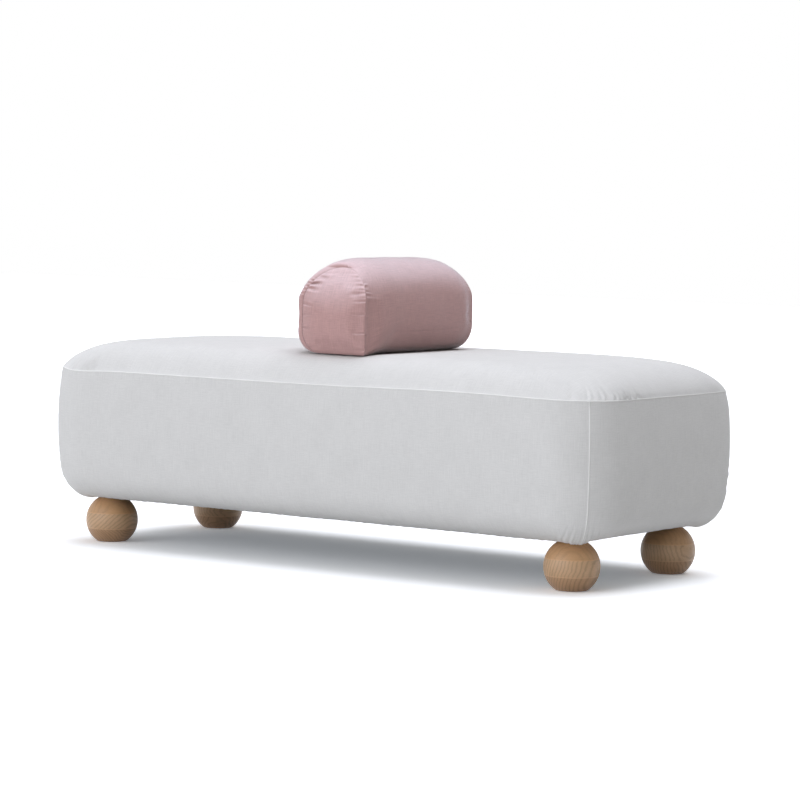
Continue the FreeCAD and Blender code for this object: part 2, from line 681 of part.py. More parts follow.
def crown_form(inside):
    """The swell above the seam, the given distance inside the seat panel's face."""
    outlines = []
    for step in CROWN_STEPS:
        end = (1 - step ** (1 / size("crown_end_fullness"))) ** (1 / size("crown_end_power"))
        side = (1 - step ** (1 / size("crown_side_fullness"))) ** (1 / size("crown_side_power"))
        radius = size("plan_corner_radius") - inside + size("crown_corner_gain") * step
        level = size("seam_height") + step / CROWN_STEPS[-1] * (size("crown_height") - inside)
        outlines.append(round_outline(place("half_length") * end - inside,
                                      place("half_width") * side - inside, radius, level))
    return smooth_loft(outlines)


def mitre_wedge(facing):
    """The part of space that belongs to one wall, cut at 45 degrees through the corners."""
    beyond = size("plan_corner_radius")
    far = place("half_length") + beyond
    near = place("half_width") + beyond
    waist = place("half_length") - place("half_width")
    reach = far - waist
    if facing in ("front", "back"):
        sign = -1 if facing == "front" else 1
        plan = [(-waist, 0), (waist, 0), (waist + near, sign * near), (-waist - near, sign * near)]
    else:
        sign = -1 if facing == "left" else 1
        plan = [(sign * waist, 0), (sign * far, reach), (sign * far, -reach)]
    points = [Vector(x, y, 0) for x, y in plan]
    wedge = Part.Face(Part.makePolygon(points + points[:1]))
    return wedge.extrude(Vector(0, 0, place("seat_top")))


# Cover: four walls that turn under the frame, and the crowned seat panel

cloth = size("cover_cloth")
soft_gap = size("cloth_clearance")
underside = size("underside_height")
seam_level = size("seam_height")

shell = wall_form(0, underside, seam_level)
shell = shell.cut(wall_form(cloth, underside + cloth, seam_level + PAST))
open_x = place("frame_length") / 2 - size("tack_margin")
open_y = place("frame_width") / 2 - size("tack_margin")
cloth_hole = bolt_bore + size("cloth_hole_room")
opening = Part.Face(round_outline(open_x, open_y, size("tack_corner_radius"), underside - PAST))
shell = shell.cut(opening.extrude(Vector(0, 0, cloth + 2 * PAST)))
for corner, x, y in corners_of(place("foot_x"), place("foot_y")):
    shell = shell.cut(upright_cylinder(cloth_hole, underside - PAST, underside + cloth + PAST, x, y))
for facing in ("front", "back", "left", "right"):
    add_solid("cover_" + facing, shell.common(mitre_wedge(facing)))

add_solid("cover_seat", crown_form(0).cut(crown_form(cloth)))

# Padding: border pads round the frame, wadding under the seat panel

padding = cloth + soft_gap
pad_form = wall_form(padding, underside + padding, seam_level)
frame_space = Part.makeBox(place("frame_length"), place("frame_width"), place("seat_top"),
                           Vector(-place("frame_length") / 2, -place("frame_width") / 2, 0))
pad_form = pad_form.cut(frame_space)
for facing in ("front", "back", "left", "right"):
    add_solid("border_pad_" + facing, pad_form.common(mitre_wedge(facing)))

foam_room = foam.Shape.makeOffsetShape(soft_gap, SAME)
add_solid("crown_wadding", crown_form(padding).cut(foam_room))

# Dust cover, stapled over the turned-in cloth

dust_level = place("foot_top")
dust_top = dust_level + size("dust_cloth")
dust = Part.Face(round_outline(place("dust_length") / 2, place("dust_width") / 2,
                               size("dust_corner_radius"), dust_level))
dust = dust.extrude(Vector(0, 0, size("dust_cloth")))
for corner, x, y in corners_of(place("foot_x"), place("foot_y")):
    dust = dust.cut(upright_cylinder(cloth_hole, dust_level - PAST, dust_top + PAST, x, y))
add_solid("dust_cover", dust)

# Bolster: an arched section along Y, with a panel at each end


def arch_section(y, half_width, height, inside, draw_in):
    """The bolster's outline at one place along it, drawn in evenly by an amount."""
    base = place("bolster_base")
    half = half_width - inside - draw_in
    low = base + inside + draw_in
    top = base + height - inside - draw_in
    spring = base + size("bolster_end_height") - size("bolster_arch_rise")
    share = half / (half_width - inside)
    shoulder = (size("bolster_shoulder_radius") - inside) * share
    corner = (size("bolster_lower_radius") - inside) * share
    rise = top - spring
    gap = half - shoulder
    crown = (gap ** 2 + rise ** 2 - shoulder ** 2) / (2 * (rise - shoulder))
    lean = math.atan2(spring - (top - crown), gap)
    middle_x = size("bolster_place_x")

    def at(x, z):
        return Vector(middle_x + x, y, z)

    def on(centre_x, centre_z, radius, angle):
        return at(centre_x + radius * math.cos(angle), centre_z + radius * math.sin(angle))

    join_right = on(gap, spring, shoulder, lean)
    join_left = on(-gap, spring, shoulder, math.pi - lean)
    flat = half - corner
    side_low = low + corner
    edges = [
        Part.makeLine(at(-flat, low), at(flat, low)),
        Part.Arc(at(flat, low), on(flat, side_low, corner, -math.pi / 4), at(half, side_low)),
        Part.makeLine(at(half, side_low), at(half, spring)),
        Part.Arc(at(half, spring), on(gap, spring, shoulder, lean / 2), join_right),
        Part.Arc(join_right, at(0, top), join_left),
        Part.Arc(join_left, on(-gap, spring, shoulder, math.pi - lean / 2), at(-half, spring)),
        Part.makeLine(at(-half, spring), at(-half, side_low)),
        Part.Arc(at(-half, side_low), on(-flat, side_low, corner, -3 * math.pi / 4), at(-flat, low)),
    ]
    return Part.Wire([edge if isinstance(edge, Part.Edge) else edge.toShape() for edge in edges])


BOLSTER_STEPS = (-1, -0.965, -0.89, -0.76, -0.56, -0.3, 0, 0.3, 0.56, 0.76, 0.89, 0.965, 1)
DOME_STEPS = (0, 0.045, 0.13, 0.28, 0.5, 0.65)


def bolster_body(inside, beyond):
    """The swelling body between the end seams, run on past them by an amount."""
    half = size("bolster_length") / 2
    sections = []
    for step in BOLSTER_STEPS:
        swell = 1 - abs(step) ** size("bolster_fullness_power")
        y = size("bolster_place_y") + step * half
        half_width = size("bolster_width") / 2 + size("bolster_side_fullness") * swell
        height = size("bolster_end_height") + size("bolster_crown") * swell
        sections.append((y, half_width, height))
    if beyond > 0:
        first, last = sections[0], sections[-1]
        sections.insert(0, (first[0] - beyond, first[1], first[2]))
        sections.append((last[0] + beyond, last[1], last[2]))
    return smooth_loft([arch_section(*section, inside, 0) for section in sections])


def bolster_dome(sign, inside, before):
    """The swell of one end panel, begun an amount before its seam."""
    half_width = size("bolster_width") / 2
    seam = size("bolster_place_y") + sign * size("bolster_length") / 2
    bulge = size("bolster_end_bulge") - inside
    sections = []
    for step in DOME_STEPS:
        y = seam + sign * bulge * math.sqrt(1 - (1 - step) ** 2)
        sections.append(arch_section(y, half_width, size("bolster_end_height"),
                                     inside, step * half_width))
    if before > 0:
        sections.insert(0, arch_section(seam - sign * before, half_width,
                                        size("bolster_end_height"), inside, 0))
    return smooth_loft(sections)


bolster_cloth = size("bolster_cloth")
filling = bolster_cloth + soft_gap
add_solid("bolster_wrap", bolster_body(0, 0).cut(bolster_body(bolster_cloth, PAST)))
for label, sign in (("bolster_end_panel_front", -1), ("bolster_end_panel_back", 1)):
    panel = bolster_dome(sign, 0, 0).cut(bolster_dome(sign, bolster_cloth, PAST))
    add_solid(label, panel)
core = bolster_body(filling, 0)
core = core.fuse(bolster_dome(-1, filling, 0)).fuse(bolster_dome(1, filling, 0))
add_solid("bolster_core", core.removeSplitter())

# Checks, then one file for each node

doc.recompute()
for item in doc.Objects:
    if "Invalid" in item.State or "Error" in item.State:
        raise RuntimeError("%s: %s" % (item.Label, item.State))
for node in NODES:
    shape = node.Shape
    if shape.isNull() or not shape.isValid() or not shape.Solids:
        raise RuntimeError("%s has no valid solid" % node.Label)
for node in NODES:
    node.Shape.exportStep("parts/%s.step" % node.Label)
    box = node.Shape.BoundBox
    print("%-26s solids %2d  volume %9.1f cm3  z %.1f to %.1f" % (
        node.Label, len(node.Shape.Solids), node.Shape.Volume / 1000, box.ZMin, box.ZMax))
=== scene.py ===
import math
from contextlib import contextmanager

import bmesh
import bpy
import numpy as np
from mathutils import Matrix, Vector
from mathutils.bvhtree import BVHTree


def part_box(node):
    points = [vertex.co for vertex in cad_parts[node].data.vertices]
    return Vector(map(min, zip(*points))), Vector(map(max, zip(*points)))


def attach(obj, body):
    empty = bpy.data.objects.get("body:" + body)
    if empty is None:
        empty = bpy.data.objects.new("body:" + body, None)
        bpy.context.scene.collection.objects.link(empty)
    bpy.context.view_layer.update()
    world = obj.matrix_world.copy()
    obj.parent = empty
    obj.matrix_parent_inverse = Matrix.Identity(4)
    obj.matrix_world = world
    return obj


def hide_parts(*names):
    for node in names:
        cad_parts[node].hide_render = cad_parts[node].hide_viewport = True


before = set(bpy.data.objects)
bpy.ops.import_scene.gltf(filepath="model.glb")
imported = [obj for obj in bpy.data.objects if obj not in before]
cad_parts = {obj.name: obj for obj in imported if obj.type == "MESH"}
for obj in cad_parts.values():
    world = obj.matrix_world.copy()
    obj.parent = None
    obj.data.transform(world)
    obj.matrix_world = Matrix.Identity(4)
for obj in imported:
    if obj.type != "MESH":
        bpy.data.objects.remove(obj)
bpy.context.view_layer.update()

bl_info = {
    "name": "Backless divan",
    "version": (1, 0, 0),
    "blender": (4, 5, 0),
    "location": "3D View > Sidebar > Divan",
    "description": "Upholsters the divan on its frame: cover, padding, loose bolster, oak feet and studio",
    "category": "Add Mesh",
}

MM = 0.001

# Places taken from the frame

SEAT_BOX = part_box("cover_seat")
WALL_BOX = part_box("cover_front")
DUST_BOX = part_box("dust_cover")
WRAP_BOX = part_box("bolster_wrap")
END_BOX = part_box("bolster_end_panel_front")
FAR_END_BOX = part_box("bolster_end_panel_back")
RAIL_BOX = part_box("rail_front")

# The walls in the order in which they go round; each begins at the corner of its own number

SIDES = ("front", "right", "back", "left")
FRONT_RIGHT = 1
BACK_RIGHT = 2


# Settings that a user may change


def metres(name, description, default):
    return bpy.props.FloatProperty(name=name, description=description, default=default, unit="LENGTH")


def ratio(name, description, default):
    return bpy.props.FloatProperty(name=name, description=description, default=default)


def degrees(name, description, default):
    return bpy.props.FloatProperty(name=name, description=description, default=math.radians(default),
                                   subtype="ANGLE")


def hue(name, description, default):
    return bpy.props.FloatVectorProperty(name=name, description=description, default=default, size=3,
                                         subtype="COLOR")


def heading(name, description, default):
    return bpy.props.FloatVectorProperty(name=name, description=description, default=default, size=3)


class CoverSettings(bpy.types.PropertyGroup):
    half_length: metres("Half length", "Middle to the end seams", SEAT_BOX[1].x)
    half_width: metres("Half width", "Middle to the long seams", SEAT_BOX[1].y)
    seam_level: metres("Seam level", "Floor to the seam round the seat", SEAT_BOX[0].z)
    crown: metres("Crown", "Rise of the seat above its seam, clear of the bolster",
                  SEAT_BOX[1].z - SEAT_BOX[0].z + 4 * MM)
    dent: metres("Dent", "How far the bolster presses the seat down", 4.2 * MM)
    underside: metres("Underside", "Floor to the cover's underside", WALL_BOX[0].z)
    corner_radius: metres("Corner radius", "Rounding of the corners seen from above", 122 * MM)
    end_power: ratio("End power", "How far the crown stays flat towards the ends", 13.4)
    end_fullness: ratio("End fullness", "How steeply the crown leaves the end seams", 0.72)
    side_power: ratio("Side power", "How far the crown stays flat towards front and back", 10.0)
    side_fullness: ratio("Side fullness", "How steeply the crown leaves the long seams", 1.28)
    corner_gain: metres("Corner gain", "Extra rounding of the crown's corners at its top", 30 * MM)
    bulge: metres("Bulge", "Swell of the walls at mid height", 13.6 * MM)
    taper: metres("Taper", "How far the walls lean in at the bottom", 9.5 * MM)
    edge_inset: metres("Lower edge inset", "Depth of the rounded lower edge", 65 * MM)
    edge_height: metres("Lower edge height", "Height of the rounded lower edge", 68 * MM)
    tack_margin: metres("Tack margin", "Cloth turned under the frame", 38 * MM)
    cloth: metres("Cloth", "Thickness of the cover cloth", 1.4 * MM)
    seam_ridge: metres("Seam ridge", "Height of the raised seam", 0.7 * MM)
    seam_width: metres("Seam width", "Width of the raised seam, both panels", 1.9 * MM)
    crease: metres("Corner crease", "How far the corner seams stand out", 2.2 * MM)
    colour: hue("Cloth colour", "Pale grey linen-like cloth", (0.772, 0.768, 0.757))


class BolsterSettings(bpy.types.PropertyGroup):
    middle_x: metres("Middle along the seat", "Where the bolster lies along the seat",
                     (END_BOX[0].x + END_BOX[1].x) / 2)
    base: metres("Base", "Level that the bolster stands on", WRAP_BOX[0].z)
    front_seam: metres("Front seam", "Where the front end panel begins", WRAP_BOX[0].y)
    back_seam: metres("Back seam", "Where the back end panel begins", WRAP_BOX[1].y)
    half_width: metres("Half width", "Half the width of an end panel", (END_BOX[1].x - END_BOX[0].x) / 2)
    end_height: metres("End height", "Height of an end panel", END_BOX[1].z - END_BOX[0].z)
    arch_rise: metres("Arch rise", "Height of the arch on the end panel", 78 * MM)
    shoulder: metres("Shoulder radius", "Turn from the upright sides into the arch", 30 * MM)
    lower_radius: metres("Lower radius", "Rounding of the long lower edges at mid length", 50 * MM)
    side_fullness: metres("Side fullness", "Swell of each side at mid length", 6 * MM)
    crown: metres("Crown", "Rise of the top at mid length", 13 * MM)
    end_bulge: metres("End bulge", "Swell of an end panel", 13 * MM)
    lean_front: metres("Front lean", "How far the front seam's arch lies back", 33 * MM)
    lean_back: metres("Back lean", "How far the back seam's arch lies forward", 12 * MM)
    dome_height: ratio("Dome height", "Where an end panel swells most, as a share of its height", 0.40)
    ear_radius: metres("Ear radius", "Rounding of the near lower corner, which stays sharp", 9 * MM)
    far_radius: metres("Far radius", "Rounding of the right lower corner at the back end", 58 * MM)
    rim: metres("Rim", "Distance in which the wrap swells out from its end seams", 17 * MM)
    left_gain: metres("Left gain", "Extra swell of the wrap's left side", 8 * MM)
    seam_inset: metres("Seam inset", "How far the end seam lies inside the wrap's left side", 21 * MM)
    seam_drop: metres("Seam drop", "How far the end seam lies below the wrap's top", 7 * MM)
    fullness_power: ratio("Fullness power", "How soon the swell sets in from the ends", 4.1)
    cloth: metres("Cloth", "Thickness of the bolster cloth", 1.1 * MM)
    gather_depth: metres("Gather depth", "Depth of the gathers at the end seams", 3.0 * MM)
    pressure: ratio("Filling pressure", "Pressure of the filling on the cloth", 4.0)
    colour: hue("Cloth colour", "Dusty blush cloth", (0.55, 0.335, 0.322))
    # Painted highlight: the paler colour painted onto the bolster's cloth where it faces up
    painted_highlight_colour: hue("Nap colour", "Paler colour where the brushed cloth faces up", (0.87, 0.66, 0.69))
    sheen_colour: hue("Sheen colour", "Tint of the brushed surface at a glance", (0.92, 0.93, 1.0))


class StageSettings(bpy.types.PropertyGroup):
    camera_place: bpy.props.FloatVectorProperty(
        name="Camera", description="Where the camera stands", default=(4.0963, -5.6510, 0.8435),
        size=3, subtype="XYZ", unit="LENGTH")
    camera_turn: degrees("Turn", "Camera's bearing round the divan", 35.6428)
    camera_pitch: degrees("Pitch", "How far the camera looks down", 4.0092)
    camera_roll: degrees("Roll", "How far the camera leans", 1.0373)
    lens: ratio("Lens", "Focal length in millimetres on a 36 mm frame", 139.95)
    key_way: heading("Key direction", "From the divan towards the key lamp", (0.0, 0.21, 0.98))
    key_strength: ratio("Key strength", "Strength of the key lamp", 2.02)
    key_colour: hue("Key colour", "Colour of the key lamp", (0.955, 0.975, 1.055))
    key_softness: degrees("Key softness", "Width of the key lamp in the sky", 56)
    fill_way: heading("Fill direction", "From the divan towards the fill lamp", (-0.22, -0.96, 0.16))
    fill_strength: ratio("Fill strength", "Strength of the fill lamp at the front", 1.35)
    fill_colour: hue("Fill colour", "Colour of the fill lamp", (0.97, 0.99, 1.035))
    fill_softness: degrees("Fill softness", "Width of the fill lamp", 60)
    sky_way: heading("Bright way", "Side of the studio that is brightest", (-0.80, -0.50, 0.30))
    sky_bright: hue("Bright side", "Fill light from the bright side", (0.46, 0.465, 0.485))
    sky_dim: hue("Dim side", "Fill light from the dim side", (0.07, 0.06, 0.03))
    floor_colour: hue("Floor", "Colour of the studio floor", (0.70, 0.70, 0.69))


# Small helpers for numbers


def smooth(low, high, value):
    """0 below low, 1 above high, and a soft step between."""
    share = np.clip((value - low) / (high - low), 0, 1)
    return share * share * (3 - 2 * share)


def bell(value, width):
    return np.exp(-(value / width) ** 2)


def ripple(value, wavelength, seed):
    """Uneven waves about zero, the same on each run for a seed."""
    rng = np.random.default_rng(seed)
    total = np.zeros_like(value, dtype=float)
    for octave in range(5):
        length = wavelength * rng.uniform(0.62, 1.7)
        total += rng.uniform(0.5, 1.0) * np.sin(2 * math.pi * value / length + rng.uniform(0, 6.28))
    return total / 2.2


def ripple_2d(across, along, wavelength, seed):
    """Uneven soft swells over a surface."""
    rng = np.random.default_rng(seed)
    total = np.zeros_like(across, dtype=float)
    for octave in range(7):
        length = wavelength * rng.uniform(0.7, 1.6)
        angle = rng.uniform(0, math.pi)
        way = across * math.cos(angle) + along * math.sin(angle)
        total += rng.uniform(0.5, 1.0) * np.sin(2 * math.pi * way / length + rng.uniform(0, 6.28))
    return total / 3


def one_fold(offset, inward, width, length, lip=0.45, lip_width=1.1, hold=0.15):
    """A fold between two low lips: it runs in from a seam, holds for a share of its length and dies."""
    form = bell(offset, width) - lip * bell(np.abs(offset) - 2.2 * width, lip_width * width)
    return form * (1 - smooth(hold * length, length, inward))


def gathers(along, inward, places, widths, lengths, depths, slants):
    """Narrow folds that run in from a seam: negative in each fold."""
    total = np.zeros(np.broadcast(along, inward).shape)
    for place, width, length, depth, slant in zip(places, widths, lengths, depths, slants):
        total -= depth * one_fold(along - place - slant * inward, inward, width, length)
    return total


# Small helpers for meshes


def link(data, name):
    obj = bpy.data.objects.new(name, data)
    bpy.context.scene.collection.objects.link(obj)
    return obj


@contextmanager
def edited(obj):
    """Opens a piece's mesh for changes and writes it back."""
    shape = bmesh.new()
    shape.from_mesh(obj.data)
    yield shape
    shape.to_mesh(obj.data)
    shape.free()


def grid_piece(name, points, uv, seam, closed=False):
    """A sheet of quads: points is rows by columns by 3, uv rows by columns by 2, seam one value each."""
    rows, columns = points.shape[:2]
    index = np.arange(rows * columns).reshape(rows, columns)
    right = np.roll(index, -1, axis=1)
    if not closed:
        index, right = index[:, :-1], right[:, :-1]
    quads = np.stack([index[:-1], right[:-1], right[1:], index[1:]], axis=-1).reshape(-1, 4)
    mesh = bpy.data.meshes.new(name)
    mesh.from_pydata(points.reshape(-1, 3).tolist(), [], quads.tolist())
    layer = mesh.uv_layers.new(name="cloth")
    corner = np.zeros(len(mesh.loops), dtype=np.int32)
    mesh.loops.foreach_get("vertex_index", corner)
    layer.data.foreach_set("uv", uv.reshape(-1, 2)[corner].astype(np.float32).ravel())
    attribute = mesh.attributes.new("seam", "FLOAT", "POINT")
    attribute.data.foreach_set("value", seam.astype(np.float32).ravel())
    mesh.update()
    return link(mesh, name)


def weld(obj, distance=0.01 * MM):
    """Merges the points that lie together."""
    with edited(obj) as shape:
        bmesh.ops.remove_doubles(shape, verts=shape.verts, dist=distance)


def close_ends(obj, first=0):
    """Caps the openings whose points have this number or a higher one."""
    with edited(obj) as shape:
        rim = [edge for edge in shape.edges
               if edge.is_boundary and min(vertex.index for vertex in edge.verts) >= first]
        caps = bmesh.ops.holes_fill(shape, edges=rim)
        bmesh.ops.triangulate(shape, faces=caps["faces"])


def turn_outward(obj):
    with edited(obj) as shape:
        bmesh.ops.recalc_face_normals(shape, faces=shape.faces)


def settle(obj):
    """Turns a piece and its modifiers into a plain mesh."""
    depsgraph = bpy.context.evaluated_depsgraph_get()
    mesh = bpy.data.meshes.new_from_object(obj.evaluated_get(depsgraph))
    old = obj.data
    obj.modifiers.clear()
    obj.data = mesh
    bpy.data.meshes.remove(old)


def give_thickness(obj, amount):
    modifier = obj.modifiers.new("thickness", "SOLIDIFY")
    modifier.thickness = amount
    modifier.offset = -1
    settle(obj)


def paint(obj, material):
    obj.data.materials.clear()
    obj.data.materials.append(material)


def dress(obj, material, body, node=None, angle=None):
    """Gives a finished piece its cloth and body, hides the node it stands for, and sets its shading."""
    paint(obj, material)
    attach(obj, body)
    if node is not None:
        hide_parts(node)
    if angle is not None:
        obj.data.shade_smooth()
        obj.data.set_sharp_from_angle(angle=math.radians(angle))


def node_copy(node, ending):
    """A clean copy of a soft node's own mesh, its loose triangles joined."""
    obj = link(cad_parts[node].data.copy(), node + ending)
    obj.data.materials.clear()
    weld(obj)
    return obj


def hold_back(obj, amount):
    """Draws a pad's outer side in a little, so that the cloth over it stays clear."""
    half_x, half_y, top = RAIL_BOX[1].x, -RAIL_BOX[0].y, SEAT_BOX[0].z
    fade = 30 * MM
    for vertex in obj.data.vertices:
        place = vertex.co
        side_x = max(0.0, abs(place.x) - half_x)
        side_y = max(0.0, abs(place.y) - half_y)
        above = max(0.0, place.z - top)
        reach = math.hypot(side_x, side_y)
        share = min(1.0, reach / fade)
        if reach > 0:
            place.x -= math.copysign(amount * share * side_x / reach, place.x)
            place.y -= math.copysign(amount * share * side_y / reach, place.y)
        place.z -= amount * 0.35 * min(1.0, above / fade)
        low = 1 - float(smooth(0.0, 60 * MM, place.z - WALL_BOX[0].z))
        place.z += amount * 0.8 * share * low


# Materials


class Tree:
    """A node tree in the making, with short ways to add what is needed here."""

    def __init__(self, tree):
        self.tree = tree

    def feed(self, target, value):
        """Joins a socket to another, or sets its value."""
        if isinstance(value, bpy.types.NodeSocket):
            self.tree.links.new(value, target)
        elif target.type == "RGBA":
            target.default_value = (*value[:3], 1)
        else:
            target.default_value = value

    def add(self, kind, inputs=None, **settings):
        """Adds a node; inputs go by the socket's name or number."""
        node = self.tree.nodes.new(kind)
        for key, value in settings.items():
            setattr(node, key, value)
        for key, value in (inputs or {}).items():
            self.feed(node.inputs[key], value)
        return node

    def math(self, operation, first, second=0.5, third=0.0):
        inputs = dict(enumerate((first, second, third)))
        return self.add("ShaderNodeMath", inputs, operation=operation).outputs[0]

    def span(self, value, low, high, out_low=0.0, out_high=1.0, kind="LINEAR"):
        inputs = dict(enumerate((value, low, high, out_low, out_high)))
        return self.add("ShaderNodeMapRange", inputs, interpolation_type=kind).outputs[0]

    def blend(self, share, first, second):
        inputs = {0: share, 6: first, 7: second}
        return self.add("ShaderNodeMix", inputs, data_type="RGBA").outputs[2]


class Recipe(Tree):
    """A material in the making."""

    def __init__(self, name):
        self.material = bpy.data.materials.new(name)
        self.material.use_nodes = True
        super().__init__(self.material.node_tree)
        self.tree.nodes.clear()

    def place(self):
        return self.add("ShaderNodeTexCoord").outputs["Object"]

    def cloth_map(self):
        return self.add("ShaderNodeUVMap", uv_map="cloth").outputs["UV"]

    def split(self, vector):
        return self.add("ShaderNodeSeparateXYZ", {0: vector}).outputs

    def mapped(self, vector, scale=(1, 1, 1), turn=(0, 0, 0), shift=(0, 0, 0)):
        inputs = {"Vector": vector, "Scale": scale, "Rotation": turn, "Location": shift}
        return self.add("ShaderNodeMapping", inputs).outputs["Vector"]

    def nudged(self, vector, waver, amount):
        """A place moved by an uneven value, so that the lines drawn there wander."""
        inputs = {0: waver, 1: amount, 2: vector}
        return self.add("ShaderNodeVectorMath", inputs, operation="MULTIPLY_ADD").outputs[0]

    def noise(self, vector, scale, detail=2.0, roughness=0.5, distortion=0.0):
        inputs = {"Vector": vector, "Scale": scale, "Detail": detail, "Roughness": roughness,
                  "Distortion": distortion}
        return self.add("ShaderNodeTexNoise", inputs).outputs["Fac"]

    def bands(self, vector, spacing, direction="X", distortion=0.0, detail=0.0, kind="BANDS"):
        """Stripes, or with RINGS the year rings of wood, at a spacing in metres."""
        inputs = {"Vector": vector, "Scale": math.pi / 10 / spacing, "Distortion": distortion,
                  "Detail": detail, "Detail Scale": 1.5}
        return self.add("ShaderNodeTexWave", inputs, wave_type=kind, wave_profile="SIN",
                        **{kind.lower() + "_direction": direction}).outputs["Fac"]

    def veil(self, value, low, high, under, over, most=1.0):
        """Lays one colour over another, more of it the higher a value is."""
        return self.blend(self.span(value, low, high, 0.0, most), under, over)

    def relief(self, height, distance, strength=0.4):
        inputs = {"Height": height, "Distance": distance, "Strength": strength}
        return self.add("ShaderNodeBump", inputs).outputs["Normal"]

    def finish(self, colour, roughness, normal, more=None):
        inputs = {"Base Color": colour, "Roughness": roughness, "Normal": normal, **(more or {})}
        shader = self.add("ShaderNodeBsdfPrincipled", inputs)
        self.add("ShaderNodeOutputMaterial", {"Surface": shader.outputs[0]})
        return self.material


def tone(colour, factor):
    return tuple(min(1.0, channel * factor) for channel in colour)


THREAD_PITCH = 1.15 * MM
THREAD_WAVER = 0.5 * MM


def woven_cloth(name, colour, slub, painted_seam_tone, thread_depth, roughness, more, painted_light=None):
    """Plain weave with thick and thin threads both ways, on the piece's cloth map in metres.

    With painted light given, the cloth is painted paler where it faces up, a painted highlight that sets in
    between the given slopes of its normal, and darker where it faces down, painted shade.
    """
    recipe = Recipe(name)
    cloth = recipe.cloth_map()
    threads = recipe.nudged(cloth, recipe.noise(cloth, 220, 2, 0.6), (THREAD_WAVER, THREAD_WAVER, 0))
    warp = recipe.bands(threads, THREAD_PITCH, "X")
    weft = recipe.bands(threads, THREAD_PITCH * 1.08, "Y")
    checks = recipe.math("MULTIPLY", recipe.math("SUBTRACT", warp, 0.5), recipe.math("SUBTRACT", weft, 0.5))
    weave = recipe.math("MULTIPLY_ADD", checks, 1.6, 0.5)
    long_slub = recipe.noise(recipe.mapped(cloth, (42, 520, 1)), 1.0, 3, 0.7)
    cross_slub = recipe.noise(recipe.mapped(cloth, (560, 26, 1), shift=(3.1, 1.7, 0)), 1.0, 3, 0.7)
    streaks = recipe.math("ADD", long_slub, cross_slub)
    shade = recipe.span(streaks, 0.72, 1.28, 1 - slub, 1 + slub)
    for value, low, high, darkest, lightest in (
            (weave, 0, 1, 0.965, 1.03),
            (recipe.noise(cloth, 14, 4, 0.6), 0.3, 0.7, 0.98, 1.02),
            (recipe.noise(cloth, 900, 1, 0.5), 0.25, 0.75, 0.97, 1.03)):
        shade = recipe.math("MULTIPLY", shade, recipe.span(value, low, high, darkest, lightest))
    # Painted light: the colour goes paler where the normal points up (painted highlight) and darker where it
    # points down (painted shade)
    if painted_light is not None:
        painted_highlight_colour, *slopes = painted_light
        upward = recipe.split(recipe.add("ShaderNodeNewGeometry").outputs["Normal"])[2]
        colour = recipe.blend(recipe.span(upward, *slopes, kind="SMOOTHSTEP"), colour, painted_highlight_colour)
        shade = recipe.math("MULTIPLY", shade, recipe.span(upward, -0.75, -0.1, 0.72, 1.0))
    inputs = {0: colour, "Scale": shade}
    cloth_colour = recipe.add("ShaderNodeVectorMath", inputs, operation="SCALE").outputs[0]
    # Along the seam marks the colour turns to the painted seam tone: a painted highlight on the cover's
    # raised seams, painted shade on the bolster's seams and folds
    seam = recipe.add("ShaderNodeAttribute", attribute_name="seam").outputs["Fac"]
    height = recipe.math("MULTIPLY_ADD", streaks, 0.4, weave)
    return recipe.finish(recipe.blend(seam, cloth_colour, painted_seam_tone), roughness,
                         recipe.relief(height, thread_depth, 0.5), more)


# The three boards of a foot: level of its lower side, tone, ring spacing, strength and lean of the rings

OAK_BOARDS = (
    (-1.0, (0.49, 0.295, 0.165), 6.5 * MM, 0.36, 0.8),
    (32 * MM, (0.565, 0.36, 0.205), 7.5 * MM, 0.33, 0.66),
    (68 * MM, (0.54, 0.315, 0.158), 9.0 * MM, 0.15, 0.12),
)


def oak(name, turns, seed, shade):
    """Turned oak glued up from three flat boards, each with its own fibre direction and tone."""
    recipe = Recipe(name)
    place = recipe.place()
    height = recipe.split(place)[2]
    wander = recipe.noise(recipe.mapped(place, (16, 16, 30), shift=(seed, 0, 0)), 1.0, 3, 0.55)
    colour = None
    relief = None
    for number, (turn, board_of_foot) in enumerate(zip(turns, OAK_BOARDS)):
        level, base, spacing, strength, lean = board_of_foot
        # A shade below 1 darkens the whole foot: painted shade
        base = tone(base, shade)
        way = recipe.mapped(place, turn=(0, 0, turn), shift=(0, seed * 0.037 + number * 0.11, 0))
        spread = recipe.mapped(way, turn=(0, lean, 0))
        far = recipe.mapped(spread, shift=(0, 0.05 + 0.02 * number, -0.11 + 0.05 * number))
        rings = recipe.bands(recipe.nudged(far, wander, (0, 0.020, 0.020)), spacing, "X", 1.2, 2.0, "RINGS")
        fibre = recipe.noise(recipe.mapped(spread, (18, 800, 800)), 1.0, 3, 0.6)
        pores = recipe.noise(recipe.mapped(spread, (55, 1700, 1700)), 1.0, 1, 0.4)
        cloud = recipe.noise(recipe.mapped(spread, (8, 45, 45)), 1.0, 2, 0.5)
        dark = recipe.math("MULTIPLY", recipe.span(rings, 0.45, 1.0), strength)
        for value, low, high, most in ((fibre, 0.35, 0.72, 0.20), (pores, 0.62, 0.74, 0.12),
                                       (cloud, 0.35, 0.7, 0.16)):
            dark = recipe.math("ADD", dark, recipe.span(value, low, high, 0, most))
        board = recipe.blend(dark, tone(base, 1.17), tone(base, 0.52))
        if colour is None:
            colour, relief = board, dark
            continue
        above = recipe.span(height, level - 0.15 * MM, level + 0.15 * MM)
        relief = recipe.add("ShaderNodeMix", {0: above, 2: relief, 3: dark}, data_type="FLOAT").outputs[0]
        # A paler thin line along each joint between boards: a painted highlight
        line = recipe.math("ABSOLUTE", recipe.math("SUBTRACT", height, level))
        joint_highlight = recipe.span(line, 0.2 * MM, 1.6 * MM, 0.5, 0.0)
        colour = recipe.blend(joint_highlight, recipe.blend(above, colour, board), tone(base, 1.35))
    return recipe.finish(colour, recipe.span(relief, 0, 0.6, 0.40, 0.56), recipe.relief(relief, -0.12 * MM),
                         {"Coat Weight": 0.15, "Coat Roughness": 0.35})


